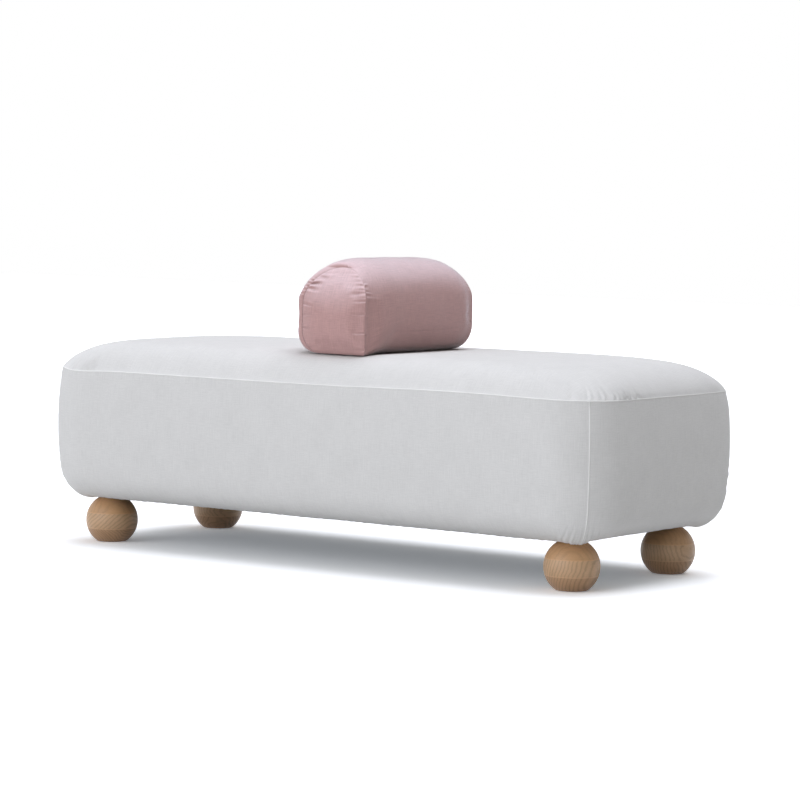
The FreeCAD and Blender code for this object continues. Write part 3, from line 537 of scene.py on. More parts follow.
def plywood(name, thickness_axis):
    """Birch plywood: a plain face veneer, and stripes of ply on the cut edges."""
    recipe = Recipe(name)
    place = recipe.place()
    grain = recipe.noise(recipe.mapped(place, (6, 6, 95)), 1, 4, 0.6)
    figure = recipe.bands(recipe.mapped(place, (0.25, 0.25, 1)), 21 * MM, "Z", 4.0, 2.0)
    face = recipe.veil(grain, 0.3, 0.7, (0.66, 0.50, 0.32), (0.56, 0.40, 0.24))
    face = recipe.veil(figure, 0.6, 1, face, (0.46, 0.31, 0.18), 0.25)
    layers = recipe.bands(place, 3 * MM, "XYZ"[thickness_axis], 0.2)
    edge = recipe.veil(layers, 0.4, 0.6, (0.60, 0.43, 0.26), (0.34, 0.21, 0.12))
    facing = recipe.split(recipe.add("ShaderNodeTexCoord").outputs["Normal"])[thickness_axis]
    on_face = recipe.math("GREATER_THAN", recipe.math("ABSOLUTE", facing), 0.7)
    return recipe.finish(recipe.blend(on_face, edge, face), 0.62, recipe.relief(grain, 0.1 * MM))


def pine(name):
    recipe = Recipe(name)
    place = recipe.place()
    rings = recipe.bands(recipe.mapped(place, (1, 1, 0.06)), 6 * MM, "X", 2.5, 3.0)
    fibre = recipe.noise(recipe.mapped(place, (420, 420, 9)), 1, 3, 0.6)
    colour = recipe.veil(rings, 0.35, 0.95, (0.74, 0.56, 0.34), (0.55, 0.33, 0.16))
    colour = recipe.veil(fibre, 0.4, 0.75, colour, (0.42, 0.27, 0.14), 0.3)
    return recipe.finish(colour, 0.6, recipe.relief(fibre, 0.1 * MM))


def zinc(name):
    """Zinc plated steel with a faint spangle and, on bolts, the pitch of a thread."""
    recipe = Recipe(name)
    place = recipe.place()
    spangle = recipe.noise(place, 520, 3, 0.6)
    colour = recipe.veil(spangle, 0.3, 0.7, (0.60, 0.61, 0.62), (0.74, 0.74, 0.73))
    thread = recipe.relief(recipe.bands(place, 1.25 * MM, "Z"), 0.12 * MM, 0.6)
    return recipe.finish(colour, recipe.span(spangle, 0.2, 0.8, 0.26, 0.44), thread, {"Metallic": 1.0})


def felted(name, colour, fleck, scale=900.0, depth=0.5 * MM):
    """Pressed or needled fibres with lighter and darker flecks."""
    recipe = Recipe(name)
    place = recipe.place()
    fibres = recipe.noise(recipe.mapped(place, (1, 1.4, 3)), scale, 4, 0.7, 1.5)
    clumps = recipe.noise(place, scale / 14, 3, 0.6)
    tint = recipe.veil(fibres, 0.3, 0.72, tone(colour, 0.72), fleck)
    tint = recipe.veil(clumps, 0.35, 0.7, tint, tone(colour, 0.85), 0.35)
    return recipe.finish(tint, 0.92, recipe.relief(fibres, depth, 0.7), {"Sheen Weight": 0.15})


def fleece(name):
    return felted(name, (0.86, 0.86, 0.85), (0.95, 0.95, 0.94), 420.0, 1.2 * MM)


def foam(name, colour, cell=1.4 * MM):
    """Cut open-cell foam."""
    recipe = Recipe(name)
    place = recipe.place()
    cells = recipe.add("ShaderNodeTexVoronoi", {"Vector": place, "Scale": 1 / cell}).outputs["Distance"]
    tint = recipe.veil(cells, 0.0, 0.6, tone(colour, 0.62), colour)
    tint = recipe.veil(recipe.noise(place, 14, 3, 0.5), 0.35, 0.75, tint, tone(colour, 0.9), 0.3)
    return recipe.finish(tint, 0.95, recipe.relief(cells, 0.6 * MM, 0.6))


def strap_cloth(name):
    """Jute-coloured elastic webbing with ribs along it and two darker stripes."""
    recipe = Recipe(name)
    cloth = recipe.cloth_map()
    ribs = recipe.bands(cloth, 4.4 * MM, "Y")
    weave = recipe.math("MULTIPLY", ribs, recipe.bands(cloth, 3.2 * MM, "X"))
    across = recipe.math("ABSOLUTE", recipe.split(cloth)[1])
    stripe = recipe.math("ABSOLUTE", recipe.math("SUBTRACT", across, 22 * MM))
    dark = recipe.span(stripe, 2.2 * MM, 2.8 * MM, 0.8, 0.0)
    tint = recipe.veil(weave, 0, 1, (0.34, 0.24, 0.14), (0.56, 0.43, 0.28))
    return recipe.finish(recipe.blend(dark, tint, (0.10, 0.06, 0.05)), 0.85,
                         recipe.relief(weave, 0.5 * MM, 0.8))


# The cover's forms

# For each corner: the seed of its folds, how far its seam and the top seam beside it are drawn in, and
# how far the hem sags there

CORNER_SEEDS = (11, 23, 37, 41)
CORNER_PULL = np.array([4.6, 0.0, 0.0, 0.0]) * MM
SEAM_PULL = np.array([0.0, 0.0, 3.6, 2.0]) * MM
CORNER_SAG = np.array([3.0, 4.4, 1.5, 3.0]) * MM
END_HEM_RISE = 4.2 * MM
BACK_CORNER_FULLNESS = 15 * MM
UNDER_RADIUS = 12 * MM
UNDER_CLEARANCE = 0.2 * MM
UNDER_TUCKED_AT = 0.34
PUCKERS = 15

# How many columns a quarter turn's half, a long side and a short side have, and how many rows a wall has

WALL_STEPS = {"turn": 34, "long": 250, "short": 96}
SEAT_STEPS = {"turn": 28, "long": 150, "short": 84}
WALL_ROWS = 48
EDGE_ROWS = 25
CLOSING_RINGS = 15

# Columns beside a corner seam, rows below the top seam, rings up the crown and steps of the strip
# that is turned under: all close together where the cloth bends most

NEAR_CORNER = np.array([0, 0.45, 0.9, 1.35, 1.9, 2.7, 3.9, 5.6]) * MM
NEAR_SEAM = np.array([0, 0.35, 0.7, 1.1, 1.5, 2.0, 2.6, 3.4, 4.6, 6.2, 8.2, 11]) * MM
CROWN_STEPS = np.array([0, 0.004, 0.009, 0.015, 0.023, 0.033, 0.047, 0.066, 0.09, 0.12, 0.16, 0.2,
                        0.25, 0.3, 0.355, 0.41, 0.465, 0.52, 0.575, 0.63, 0.68, 0.73, 0.775, 0.815,
                        0.85, 0.88, 0.905, 0.927, 0.945, 0.96, 0.972, 0.982, 0.99])
UNDER_STEPS = np.array([0.08, 0.2, 0.36, 0.52, 0.68, 0.84, 1.0])


def side_columns(side, steps):
    """Where one wall's columns stand: corner share, outward direction and length along the seam."""
    settings = bpy.context.scene.divan_cover
    radius = settings.corner_radius
    order = SIDES.index(side)
    quarter = math.pi / 2
    start = -3 * math.pi / 4 + order * quarter
    turn = np.concatenate([NEAR_CORNER / radius,
                           np.linspace(8 * MM / radius, math.pi / 4, steps["turn"])])
    lean = np.linspace(-1, 1, steps["long" if order % 2 == 0 else "short"] + 1)[1:-1]
    lean = np.sin(lean * 1.15) / math.sin(1.15)
    angle = np.concatenate([start + turn, np.full(len(lean), start + math.pi / 4),
                            start + quarter - turn[::-1]])
    share = np.concatenate([np.full(len(turn), -1.0), lean, np.full(len(turn), 1.0)])
    half_run = (settings.half_length if order % 2 == 0 else settings.half_width) - radius
    length = np.concatenate([radius * turn, radius * math.pi / 4 + half_run * (1 + lean),
                             2 * half_run + radius * (quarter - turn[::-1])])
    ways = np.array([(1, 0), (0, 1), (-1, 0), (0, -1)])
    return {"anchor": share[:, None] * ways[order] + ways[order - 1],
            "normal": np.stack([np.cos(angle), np.sin(angle)], axis=-1),
            "length": length,
            "to_seam": np.minimum(length, length[-1] - length),
            "side": np.full(len(length), order),
            "nearest": np.where(length < length[-1] / 2, order, (order + 1) % 4)}


def outline(columns, half_x, half_y, radius, out=0.0):
    """Points of a level round-cornered outline at the columns, pushed out by an amount."""
    flat = np.array([half_x - radius, half_y - radius])
    return columns["anchor"] * flat + columns["normal"] * np.reshape(radius + out, (-1, 1))


def seam_profile(distance, settings):
    """Height of the cloth beside a seam: a raised edge, then a slight hollow."""
    width = settings.seam_width
    return settings.seam_ridge * (bell(distance, width / 2) - 0.3 * bell(distance - 2 * width, 1.4 * width))


def seam_mark(distance, settings):
    return 1 - smooth(0.30 * settings.seam_width, 0.62 * settings.seam_width, distance)


def corner_crease(columns, settings):
    """How far the cover stands out at its corner seams, less where a corner is pulled tight."""
    crease = settings.crease * np.exp(-columns["to_seam"] / (26 * MM))
    return (crease - CORNER_PULL[columns["nearest"]] * bell(columns["to_seam"], 75 * MM))[None, :]


def seam_pull(columns, from_seam):
    """How far the top seam is drawn in near a corner, from the corner and from the seam."""
    pull = SEAM_PULL[columns["nearest"]] * bell(columns["to_seam"], 110 * MM)
    return pull[None, :] * bell(from_seam, 24 * MM)


def seam_lift(points, settings):
    """The seam's slight ups and downs along the front, where the cloth was pulled by hand."""
    front = 1 - smooth(-0.9 * settings.half_width, -0.55 * settings.half_width, points[..., 1])
    along = points[..., 0] / settings.half_length
    return front * (4.5 * MM * bell(along - 0.52, 0.3) - 3.5 * MM * bell(along + 0.84, 0.10)
                    + 4.0 * MM * bell(along + 1.0, 0.07))


def wall_rows(settings):
    """Levels and insets down a wall, the distance from the top seam along the cloth, and its lean."""
    seam = settings.seam_level
    turn = settings.underside + settings.edge_height
    upright = np.concatenate([seam - NEAR_SEAM, np.linspace(seam - 15 * MM, turn, WALL_ROWS)])
    bend = np.linspace(0, math.pi / 2, EDGE_ROWS)[1:]
    levels = np.concatenate([upright, turn - settings.edge_height * np.sin(bend)])
    lean = np.concatenate([np.zeros(len(upright)), bend])
    fall = (seam - levels) / (seam - settings.underside)
    inset = (settings.taper * fall + settings.edge_inset * (1 - np.cos(lean))
             - settings.bulge * 4 * fall * (1 - fall))
    steps = np.hypot(np.diff(levels), np.diff(inset))
    return levels, inset, np.concatenate([[0], np.cumsum(steps)]), lean


def wall_relief(columns, order, height, down, settings):
    """How far a wall's cloth stands out: seams, corner creases, tucks at the hem and soft swells."""
    length = columns["length"][None, :]
    to_seam = columns["to_seam"][None, :]
    above = height - settings.underside
    out = seam_profile(down, settings) + seam_profile(to_seam, settings)
    out = out + corner_crease(columns, settings) * smooth(0.0, 70 * MM, above) - seam_pull(columns, down)
    for corner in (order, (order + 1) % 4):
        seed = CORNER_SEEDS[corner]
        beside = columns["nearest"][None, :] == corner
        weight = 0.35 + 0.65 * (1 - smooth(0.16, 0.3, height))
        if corner == FRONT_RIGHT:
            weight = 0.25 * weight
        bump = bell(height - 0.2, 0.08) * (corner == BACK_RIGHT)
        near = bell(to_seam, (16 + 24 * bump) * MM)
        out += (0.85 + 2.0 * bump) * MM * ripple(height, 26 * MM, seed) * near * weight * beside
        tuck = ripple(to_seam * (1 + 22 * above), 17 * MM, seed + order + 3)
        tuck = tuck * bell(to_seam, 75 * MM) * smooth(0.0, 8 * MM, to_seam)
        out += 1.35 * MM * tuck * (1 - smooth(6 * MM, 60 * MM, above)) * beside
    out += 0.55 * MM * ripple_2d(length + 0 * height, height * 1.6 + 0 * length, 0.24, 5 + order)
    return out + 0.7 * MM * ripple(length, 21 * MM, 70 + order) * (1 - smooth(0.0, 30 * MM, above))


def build_wall(side, material):
    settings = bpy.context.scene.divan_cover
    order = SIDES.index(side)
    columns = side_columns(side, WALL_STEPS)
    levels, inset, run, lean = wall_rows(settings)
    length = columns["length"][None, :]
    to_seam = columns["to_seam"][None, :]
    out = wall_relief(columns, order, levels[:, None], run[:, None], settings)

    wall = np.stack([outline(columns, settings.half_length - inset[row], settings.half_width - inset[row],
                             settings.corner_radius - inset[row], out[row] * math.cos(lean[row]))
                     for row in range(len(levels))])
    full = BACK_CORNER_FULLNESS * bell(to_seam, 90 * MM) * (columns["nearest"] == BACK_RIGHT)
    wall += columns["normal"][None] * (full * (1 - np.cos(lean))[:, None])[..., None]
    before = np.where((columns["nearest"] == FRONT_RIGHT) & (order == 0), to_seam - 16 * MM, to_seam)
    sag = CORNER_SAG[columns["nearest"]][None, :] * bell(before, 46 * MM)
    if side == "right":
        sag = sag - END_HEM_RISE * smooth(0.0, 45 * MM, length) * (1 - bell(length[0, -1] - length, 85 * MM))
    drop = -out * np.sin(lean)[:, None] - sag * smooth(0.35, 1.2, lean[:, None])
    lift = seam_lift(wall, settings) * (1 - smooth(0.0, 0.16, run[:, None]))
    points = np.concatenate([wall, (levels[:, None] + drop + lift)[..., None]], axis=-1)

    last = points[-1]
    inner = outline(columns, RAIL_BOX[1].x - settings.tack_margin, -RAIL_BOX[0].y - settings.tack_margin,
                    UNDER_RADIUS)
    under_level = settings.underside + UNDER_CLEARANCE
    turned = []
    for share in UNDER_STEPS:
        tucked = min(1.0, share / UNDER_TUCKED_AT)
        flat = last[:, :2] * (1 - share) + inner * share
        level = last[:, 2:] * (1 - tucked) + under_level * tucked
        turned.append(np.concatenate([flat, level], axis=-1))
    points = np.concatenate([points, np.stack(turned)])

    under = np.linalg.norm(inner - last[:, :2], axis=-1)[None, :] * UNDER_STEPS[:, None]
    depth = np.concatenate([run[:, None] + 0 * length, run[-1] + under])
    uv = np.stack([np.broadcast_to(length, depth.shape) + order * 3.0, -depth], axis=-1)
    # Marks along the top seam and the corner seams, where the cover's painted highlight goes
    upright = seam_mark(to_seam, settings) * smooth(8 * MM, 18 * MM, depth)
    marks = np.maximum(seam_mark(depth, settings), upright)
    obj = grid_piece("cover_%s_cloth" % side, points[:, ::-1], uv[:, ::-1], marks[:, ::-1])
    give_thickness(obj, settings.cloth)
    dress(obj, material, "divan", "cover_" + side, angle=50)


def bolster_press(points):
    """How strongly the bolster weighs on the seat at a place, from 0 to 1."""
    inside = 18 * MM
    beyond = []
    for axis, low, high in ((0, END_BOX[0].x, END_BOX[1].x), (1, END_BOX[0].y, FAR_END_BOX[1].y)):
        place = points[..., axis]
        beyond.append(np.maximum(np.maximum(low + inside - place, place - high + inside), 0))
    return 1 - smooth(0.0, 70 * MM, np.hypot(*beyond))


def corner_puckers(columns, run):
    """Folds that run up over the seat from its seam beside each corner."""
    puckers = np.zeros(run.shape)
    for corner, seed in enumerate(CORNER_SEEDS):
        rng = np.random.default_rng(seed + 100)
        away = np.where(columns["side"] == corner, columns["to_seam"], -columns["to_seam"])[None, :]
        places = np.linspace(-42, 142, PUCKERS) * MM + rng.uniform(-4, 4, PUCKERS) * MM
        slants = np.clip(-places / (130 * MM), -0.7, 0.25)
        widths = rng.uniform(2.8, 5.0, PUCKERS) * MM
        lengths = rng.uniform(40, 90, PUCKERS) * MM
        depths = rng.uniform(1.2, 3.2, PUCKERS) * MM * (1.0 if corner == FRONT_RIGHT else 0.6)
        depths *= 1 + 0.5 * smooth(20 * MM, 60 * MM, places)
        folds = gathers(away, run, places, widths, lengths, depths, slants)
        puckers += folds * (columns["nearest"][None, :] == corner) * smooth(1.0 * MM, 8 * MM, run)
    return puckers


def build_seat(material):
    """The crowned seat panel: rings that climb from the seam, then close along the middle."""
    settings = bpy.context.scene.divan_cover
    parts = [side_columns(side, SEAT_STEPS) for side in SIDES]
    columns = {key: np.concatenate([part[key][:-1] for part in parts])
               for key in ("anchor", "normal", "to_seam", "nearest", "side")}
    rings = []

    def add_ring(half_x, half_y, radius, level):
        flat = outline(columns, half_x, half_y, radius)
        rings.append(np.concatenate([flat, np.full((len(flat), 1), level)], axis=-1))

    for step in CROWN_STEPS:
        share_x = (1 - step ** (1 / settings.end_fullness)) ** (1 / settings.end_power)
        share_y = (1 - step ** (1 / settings.side_fullness)) ** (1 / settings.side_power)
        half_x = settings.half_length * share_x
        half_y = settings.half_width * share_y
        radius = settings.corner_radius + settings.corner_gain * step
        level = settings.seam_level + step / CROWN_STEPS[-1] * settings.crown
        add_ring(half_x, half_y, radius, level)
    for share in np.linspace(0, 1, CLOSING_RINGS)[1:]:
        waist = half_y * (1 - share)
        add_ring(half_x - half_y + waist, waist, min(radius, waist), level)
    points = np.stack(rings)

    run = run_along(points)
    outward = np.broadcast_to(columns["normal"], points.shape[:2] + (2,))
    flat_run = np.linalg.norm(points[:, :, :2] - points[-1][None, :, :2], axis=-1)
    uv = points[:, :, :2] + outward * (run[-1][None, :] - run - flat_run)[..., None]

    relief = seam_profile(run, settings) + corner_puckers(columns, run)
    crease = corner_crease(columns, settings) * (1 - smooth(0.0, 50 * MM, run))
    steep = 1 - smooth(0.0, 0.11, run)
    points[..., :2] += outward * (relief * steep + crease - seam_pull(columns, run))[..., None]
    points[..., 2] += relief * (1 - steep) + seam_lift(points, settings) * (1 - smooth(0.0, 0.12, run))
    swell = 0.7 * MM * ripple_2d(points[..., 0], points[..., 1], 0.3, 91)
    points[..., 2] += swell * smooth(30 * MM, 0.12, run)
    points[..., 2] -= (settings.dent + swell) * bolster_press(points) * smooth(10 * MM, 50 * MM, run)

    # The seam marks carry the painted highlight along the seat's seam
    obj = grid_piece("cover_seat_cloth", points, uv, seam_mark(run, settings), closed=True)
    weld(obj, 0.02 * MM)
    give_thickness(obj, settings.cloth)
    dress(obj, material, "divan", "cover_seat", angle=50)


# The bolster's forms

# How many points each part of its outline has, anticlockwise from the lower left

SECTION_COUNTS = {"base": 36, "low_right": 24, "right": 110, "shoulder_right": 40, "arch": 170,
                  "shoulder_left": 40, "left": 110, "low_left": 24}
WRAP_EDGE_STEPS = np.array([0, 0.35, 0.8, 1.4, 2.1, 3.0, 4.2, 5.8, 7.8, 10.4, 13.5, 17.0]) * MM
END_EDGE_STEPS = np.array([0, 0.4, 0.9, 1.6, 2.5, 3.6, 5.0, 6.8, 9, 11.5, 14.5, 18]) * MM

# The simulated cloth draws in a little more than the bolster in the picture does, and the wrap's
# normals point inwards, so this much is taken off

REFILL = 2.6 * MM

FAR_LEFT_RADIUS = 44 * MM
PLEAT_SEEDS = (301, 302)
LEVEL_PLEAT_SEEDS = {-1: 401, 1: 402}
PLEAT_PITCH = 9 * MM
PLEAT_WIDTH = 2.5 * MM
PLEAT_LENGTH = 22 * MM
PLEAT_DEPTH = 0.36
SEAM_DIP = 0.45 * MM
SEAM_DIP_WIDTH = 2.0 * MM
# Width of the painted shade along the bolster's end seams
SEAM_LINE_WIDTH = 1.4 * MM

# Between these distances from an end seam the filling's swell sets in

SWELL_START = 4 * MM
SWELL_FULL = 45 * MM

# The cloth simulation: size of the coarse copy's faces, frames, and the most that a point may move

FILLING_VOXEL = 5 * MM
FILLING_FRAMES = 20
FILLING_REACH = 10 * MM


def arc_points(centre, radius, start, end, count):
    angle = np.linspace(start, end, count, endpoint=False)
    return np.array(centre) + radius * np.stack([np.cos(angle), np.sin(angle)], axis=-1)


def line_points(start, end, count):
    share = np.linspace(0, 1, count, endpoint=False)[:, None]
    return np.array(start)[None, :] * (1 - share) + np.array(end)[None, :] * share


def bolster_section(half, top, right, left):
    """The arched outline in its own plane: x from its middle, z from the base."""
    settings = bpy.context.scene.divan_bolster
    spring = settings.end_height - settings.arch_rise
    shoulder = settings.shoulder
    rise = top - spring
    gap = half - shoulder
    crown = (gap ** 2 + rise ** 2 - shoulder ** 2) / (2 * (rise - shoulder))
    lean = math.atan2(spring - (top - crown), gap)
    count = SECTION_COUNTS
    return np.concatenate([
        line_points((-half + left, 0), (half - right, 0), count["base"]),
        arc_points((half - right, right), right, -math.pi / 2, 0, count["low_right"]),
        line_points((half, right), (half, spring), count["right"]),
        arc_points((gap, spring), shoulder, 0, lean, count["shoulder_right"]),
        arc_points((0, top - crown), crown, lean, math.pi - lean, count["arch"]),
        arc_points((-gap, spring), shoulder, math.pi - lean, math.pi, count["shoulder_left"]),
        line_points((-half, spring), (-half, left), count["left"]),
        arc_points((-half + left, left), left, math.pi, 3 * math.pi / 2, count["low_left"]),
    ])


def lower_radii(share):
    """Rounding of the long lower edges at a place along the bolster, -1 at the front seam."""
    settings = bpy.context.scene.divan_bolster
    front = smooth(0.5, 1.0, -share)
    back = smooth(0.3, 1.0, share)
    right = settings.lower_radius * (1 - front) + settings.ear_radius * front
    right = right * (1 - back) + settings.far_radius * back
    left = settings.lower_radius * (1 - back) + FAR_LEFT_RADIUS * back
    return float(right), float(left)


def half_run_of(settings):
    """Half the distance between the end seams."""
    return (settings.back_seam - settings.front_seam) / 2


def bolster_ring(share):
    """The section at a place along the bolster, -1 at the front seam and 1 at the back one."""
    settings = bpy.context.scene.divan_bolster
    slow = 1 - abs(share) ** settings.fullness_power
    from_seam = min(1.0, (1 - abs(share)) * half_run_of(settings) / settings.rim)
    quick = math.sqrt(1 - (1 - from_seam) ** 2)
    left_side = (-settings.half_width - settings.left_gain + settings.seam_inset * (1 - quick)
                 - 0.5 * settings.side_fullness * slow)
    right_side = settings.half_width + settings.side_fullness * slow
    top = settings.end_height - settings.seam_drop * (1 - quick) + settings.crown * slow
    flat = bolster_section((right_side - left_side) / 2, top, *lower_radii(share))
    flat[:, 0] += (right_side + left_side) / 2
    return flat


def lean_of(sign, height):
    """How far an end seam lies inside the bolster's length, by the height above the base."""
    settings = bpy.context.scene.divan_bolster
    most = settings.lean_front if sign < 0 else settings.lean_back
    share = np.clip((height / settings.end_height - 0.42) / 0.54, 0, 1)
    return -sign * most * share ** 2.4


def placed(flat, y):
    """A section's points in the divan's space, each at its place along the bolster."""
    settings = bpy.context.scene.divan_bolster
    return np.stack([flat[:, 0] + settings.middle_x, y, flat[:, 1] + settings.base], axis=-1)


def bolster_wrap_points(steps):
    settings = bpy.context.scene.divan_bolster
    middle = (settings.front_seam + settings.back_seam) / 2
    half_run = half_run_of(settings)
    reach = 110 * MM
    rows = []
    for share in steps:
        flat = bolster_ring(share)
        y = np.full(len(flat), middle + share * half_run)
        for sign in (-1, 1):
            near = max(0.0, 1 - (1 - sign * share) * half_run / reach)
            y += near ** 1.6 * lean_of(sign, flat[:, 1])
        rows.append(placed(flat, y))
    return np.stack(rows)


def bolster_end_points(sign, steps):
    """Rings of an end panel from its seam, 0, to the middle, 1."""
    settings = bpy.context.scene.divan_bolster
    seam = settings.front_seam if sign < 0 else settings.back_seam
    ring = bolster_ring(float(sign))
    middle = np.array([ring[:, 0].mean(), settings.dome_height * settings.end_height])
    rows = []
    for step in steps:
        bulge = settings.end_bulge * (1 - (1 - step) ** 2) ** 0.72
        y = seam + sign * bulge + lean_of(sign, ring[:, 1]) * (1 - step) ** 1.5
        rows.append(placed(middle + (ring - middle) * (1 - step), y))
    return np.stack(rows)


def run_along(points):
    """Distance down each column from its first row."""
    steps = np.linalg.norm(np.diff(points, axis=0), axis=-1)
    return np.concatenate([np.zeros((1, points.shape[1])), np.cumsum(steps, axis=0)])


def run_round(points):
    """Distance round a closed ring from its first point."""
    steps = np.linalg.norm(np.roll(points, -1, axis=0) - points, axis=-1)
    return np.concatenate([[0], np.cumsum(steps)[:-1]])


def grid_normals(points):
    """Normals of a grid of points that runs round and along."""
    round_way = np.roll(points, -1, axis=1) - np.roll(points, 1, axis=1)
    normal = np.cross(round_way, np.gradient(points, axis=0))
    return normal / np.maximum(np.linalg.norm(normal, axis=-1, keepdims=True), 1e-12)


def filled_shape(settings):
    """The bolster's whole skin blown up softly by its filling: a cloth simulation on a coarse copy."""
    wrap = bolster_wrap_points(np.linspace(-1, 1, 61))
    ends = [bolster_end_points(sign, np.linspace(0, 0.97, 14))[1:] for sign in (-1, 1)]
    points = np.concatenate([ends[0][::-1], wrap, ends[1]])
    no_seam = np.zeros(points.shape[:2])
    obj = grid_piece("filling_shape", points, points[..., :2], no_seam, closed=True)
    with edited(obj) as shape:
        bmesh.ops.holes_fill(shape, edges=shape.edges)
        bmesh.ops.recalc_face_normals(shape, faces=shape.faces)
    remesh = obj.modifiers.new("voxels", "REMESH")
    remesh.mode = "VOXEL"
    remesh.voxel_size = FILLING_VOXEL
    settle(obj)
    start = np.array([vertex.co for vertex in obj.data.vertices])
    held = obj.vertex_groups.new(name="held")
    for index, level in enumerate(start[:, 2]):
        weight = 1.0 - float(smooth(settings.base + 2 * MM, settings.base + 14 * MM, level))
        held.add([index], weight, "REPLACE")
    modifier = obj.modifiers.new("cloth", "CLOTH")
    modifier.collision_settings.use_collision = False
    cloth = modifier.settings
    cloth.quality = 6
    cloth.mass = 0.25
    cloth.tension_stiffness = 12
    cloth.compression_stiffness = 12
    cloth.shear_stiffness = 6
    cloth.bending_stiffness = 0.4
    cloth.use_pressure = True
    cloth.uniform_pressure_force = settings.pressure
    cloth.vertex_group_mass = "held"
    cloth.effector_weights.gravity = 0
    scene = bpy.context.scene
    for number in range(1, FILLING_FRAMES + 1):
        scene.frame_set(number)
    settle(obj)
    scene.frame_set(1)
    moved = np.array([vertex.co for vertex in obj.data.vertices]) - start
    reach = np.linalg.norm(moved, axis=-1, keepdims=True)
    moved *= np.minimum(1.0, FILLING_REACH / np.maximum(reach, 1e-9))
    mesh = obj.data
    faces = [tuple(face.vertices) for face in mesh.polygons]
    tree = BVHTree.FromPolygons((start + moved).tolist(), faces)
    bpy.data.objects.remove(obj)
    bpy.data.meshes.remove(mesh)
    return tree


def blown_up(points, ways, tree, reach):
    """How far the filled shape lies outside each point along its way, evened out; 0 without a shape."""
    found = np.zeros(points.shape[:2])
    if tree is None:
        return found
    for place in np.ndindex(found.shape):
        origin = Vector(points[place])
        way = Vector(ways[place])
        hit = tree.ray_cast(origin - way * reach, way, 2 * reach)
        if hit[0] is not None:
            found[place] = hit[3] - reach
    for turn in range(3):
        padded = np.concatenate([found[:1], found, found[-1:]])
        found = (np.roll(found, 1, axis=1) + np.roll(found, -1, axis=1)
                 + padded[:-2] + padded[2:] + 2 * found) / 6
    return found


def pleats(seed, around, heights, settings):
    """Uneven gathers round an end seam, one every so often where the seam begins to curve."""
    rng = np.random.default_rng(seed)
    places = []
    place = 0.0
    while place < around[-1]:
        place += PLEAT_PITCH * rng.uniform(0.6, 1.5)
        height = np.interp(place, around, heights) / settings.end_height
        crowded = smooth(0.5, 0.72, height) * (1 - smooth(0.80, 0.93, height))
        if rng.uniform() < 0.10 + 0.9 * crowded:
            places.append(place)
    count = len(places)
    widths = PLEAT_WIDTH * rng.uniform(0.7, 1.3, count)
    lengths = PLEAT_LENGTH * rng.uniform(0.4, 1.25, count)
    depths = PLEAT_DEPTH * settings.gather_depth * rng.uniform(0.3, 1.2, count)
    return places, widths, lengths, depths, rng.uniform(-0.12, 0.12, count)


def level_pleats(points, seed, settings):
    """Short level folds that run in from both side seams of an end panel, crowded at the shoulders."""
    rng = np.random.default_rng(seed)
    ring = points[0]
    middle = (ring[:, 0].min() + ring[:, 0].max()) / 2
    total = np.zeros(points.shape[:2])
    for side in (-1, 1):
        edge = ring[(ring[:, 0] - middle) * side > 1 * MM]
        edge = edge[np.argsort(edge[:, 2])]
        reach = np.interp(points[..., 2], edge[:, 2], np.abs(edge[:, 0] - middle))
        inward = reach - (points[..., 0] - middle) * side
        level = 0.06
        while level < 0.93:
            crowded = float(smooth(0.52, 0.70, level))
            height = settings.base + level * settings.end_height
            width = rng.uniform(1.9, 3.0) * MM
            length = rng.uniform(34, 52 + 12 * crowded) * MM
            depth = settings.gather_depth * rng.uniform(0.22, 0.42 + 0.85 * crowded)
            depth *= 1 - 0.6 * float(smooth(0.74, 0.88, level))
            offset = points[..., 2] - height - rng.uniform(-0.12, 0.08) * inward
            total -= depth * one_fold(offset, inward, width, length, 0.5, 1.2, 0.1) * (inward > -5 * MM)
            level += rng.uniform(0.7, 1.3) * (0.042 + 0.13 * (1 - crowded))
    return total * (1 - smooth(0.85, 0.94, (points[..., 2] - settings.base) / settings.end_height))


def plain_part(level):
    """How plainly an end seam shows at a share of the bolster's height: less among the gathers."""
    return 1 - 0.75 * smooth(0.62, 0.80, level)


def sew_panel(node, points, uv, seam_line, fold, material):
    """Makes a panel of the bolster from its points, the last ring of an end panel closed."""
    settings = bpy.context.scene.divan_bolster
    # The marks also take the folds, so that the gathers get painted shade in their creases
    seam = np.maximum(seam_line, np.clip(-fold / settings.gather_depth, 0, 1))
    obj = grid_piece(node + "_cloth", points, uv, seam, closed=True)
    if node != "bolster_wrap":
        rows, columns = fold.shape
        close_ends(obj, (rows - 1) * columns)
    give_thickness(obj, settings.cloth)
    dress(obj, material, "bolster", node, angle=60)


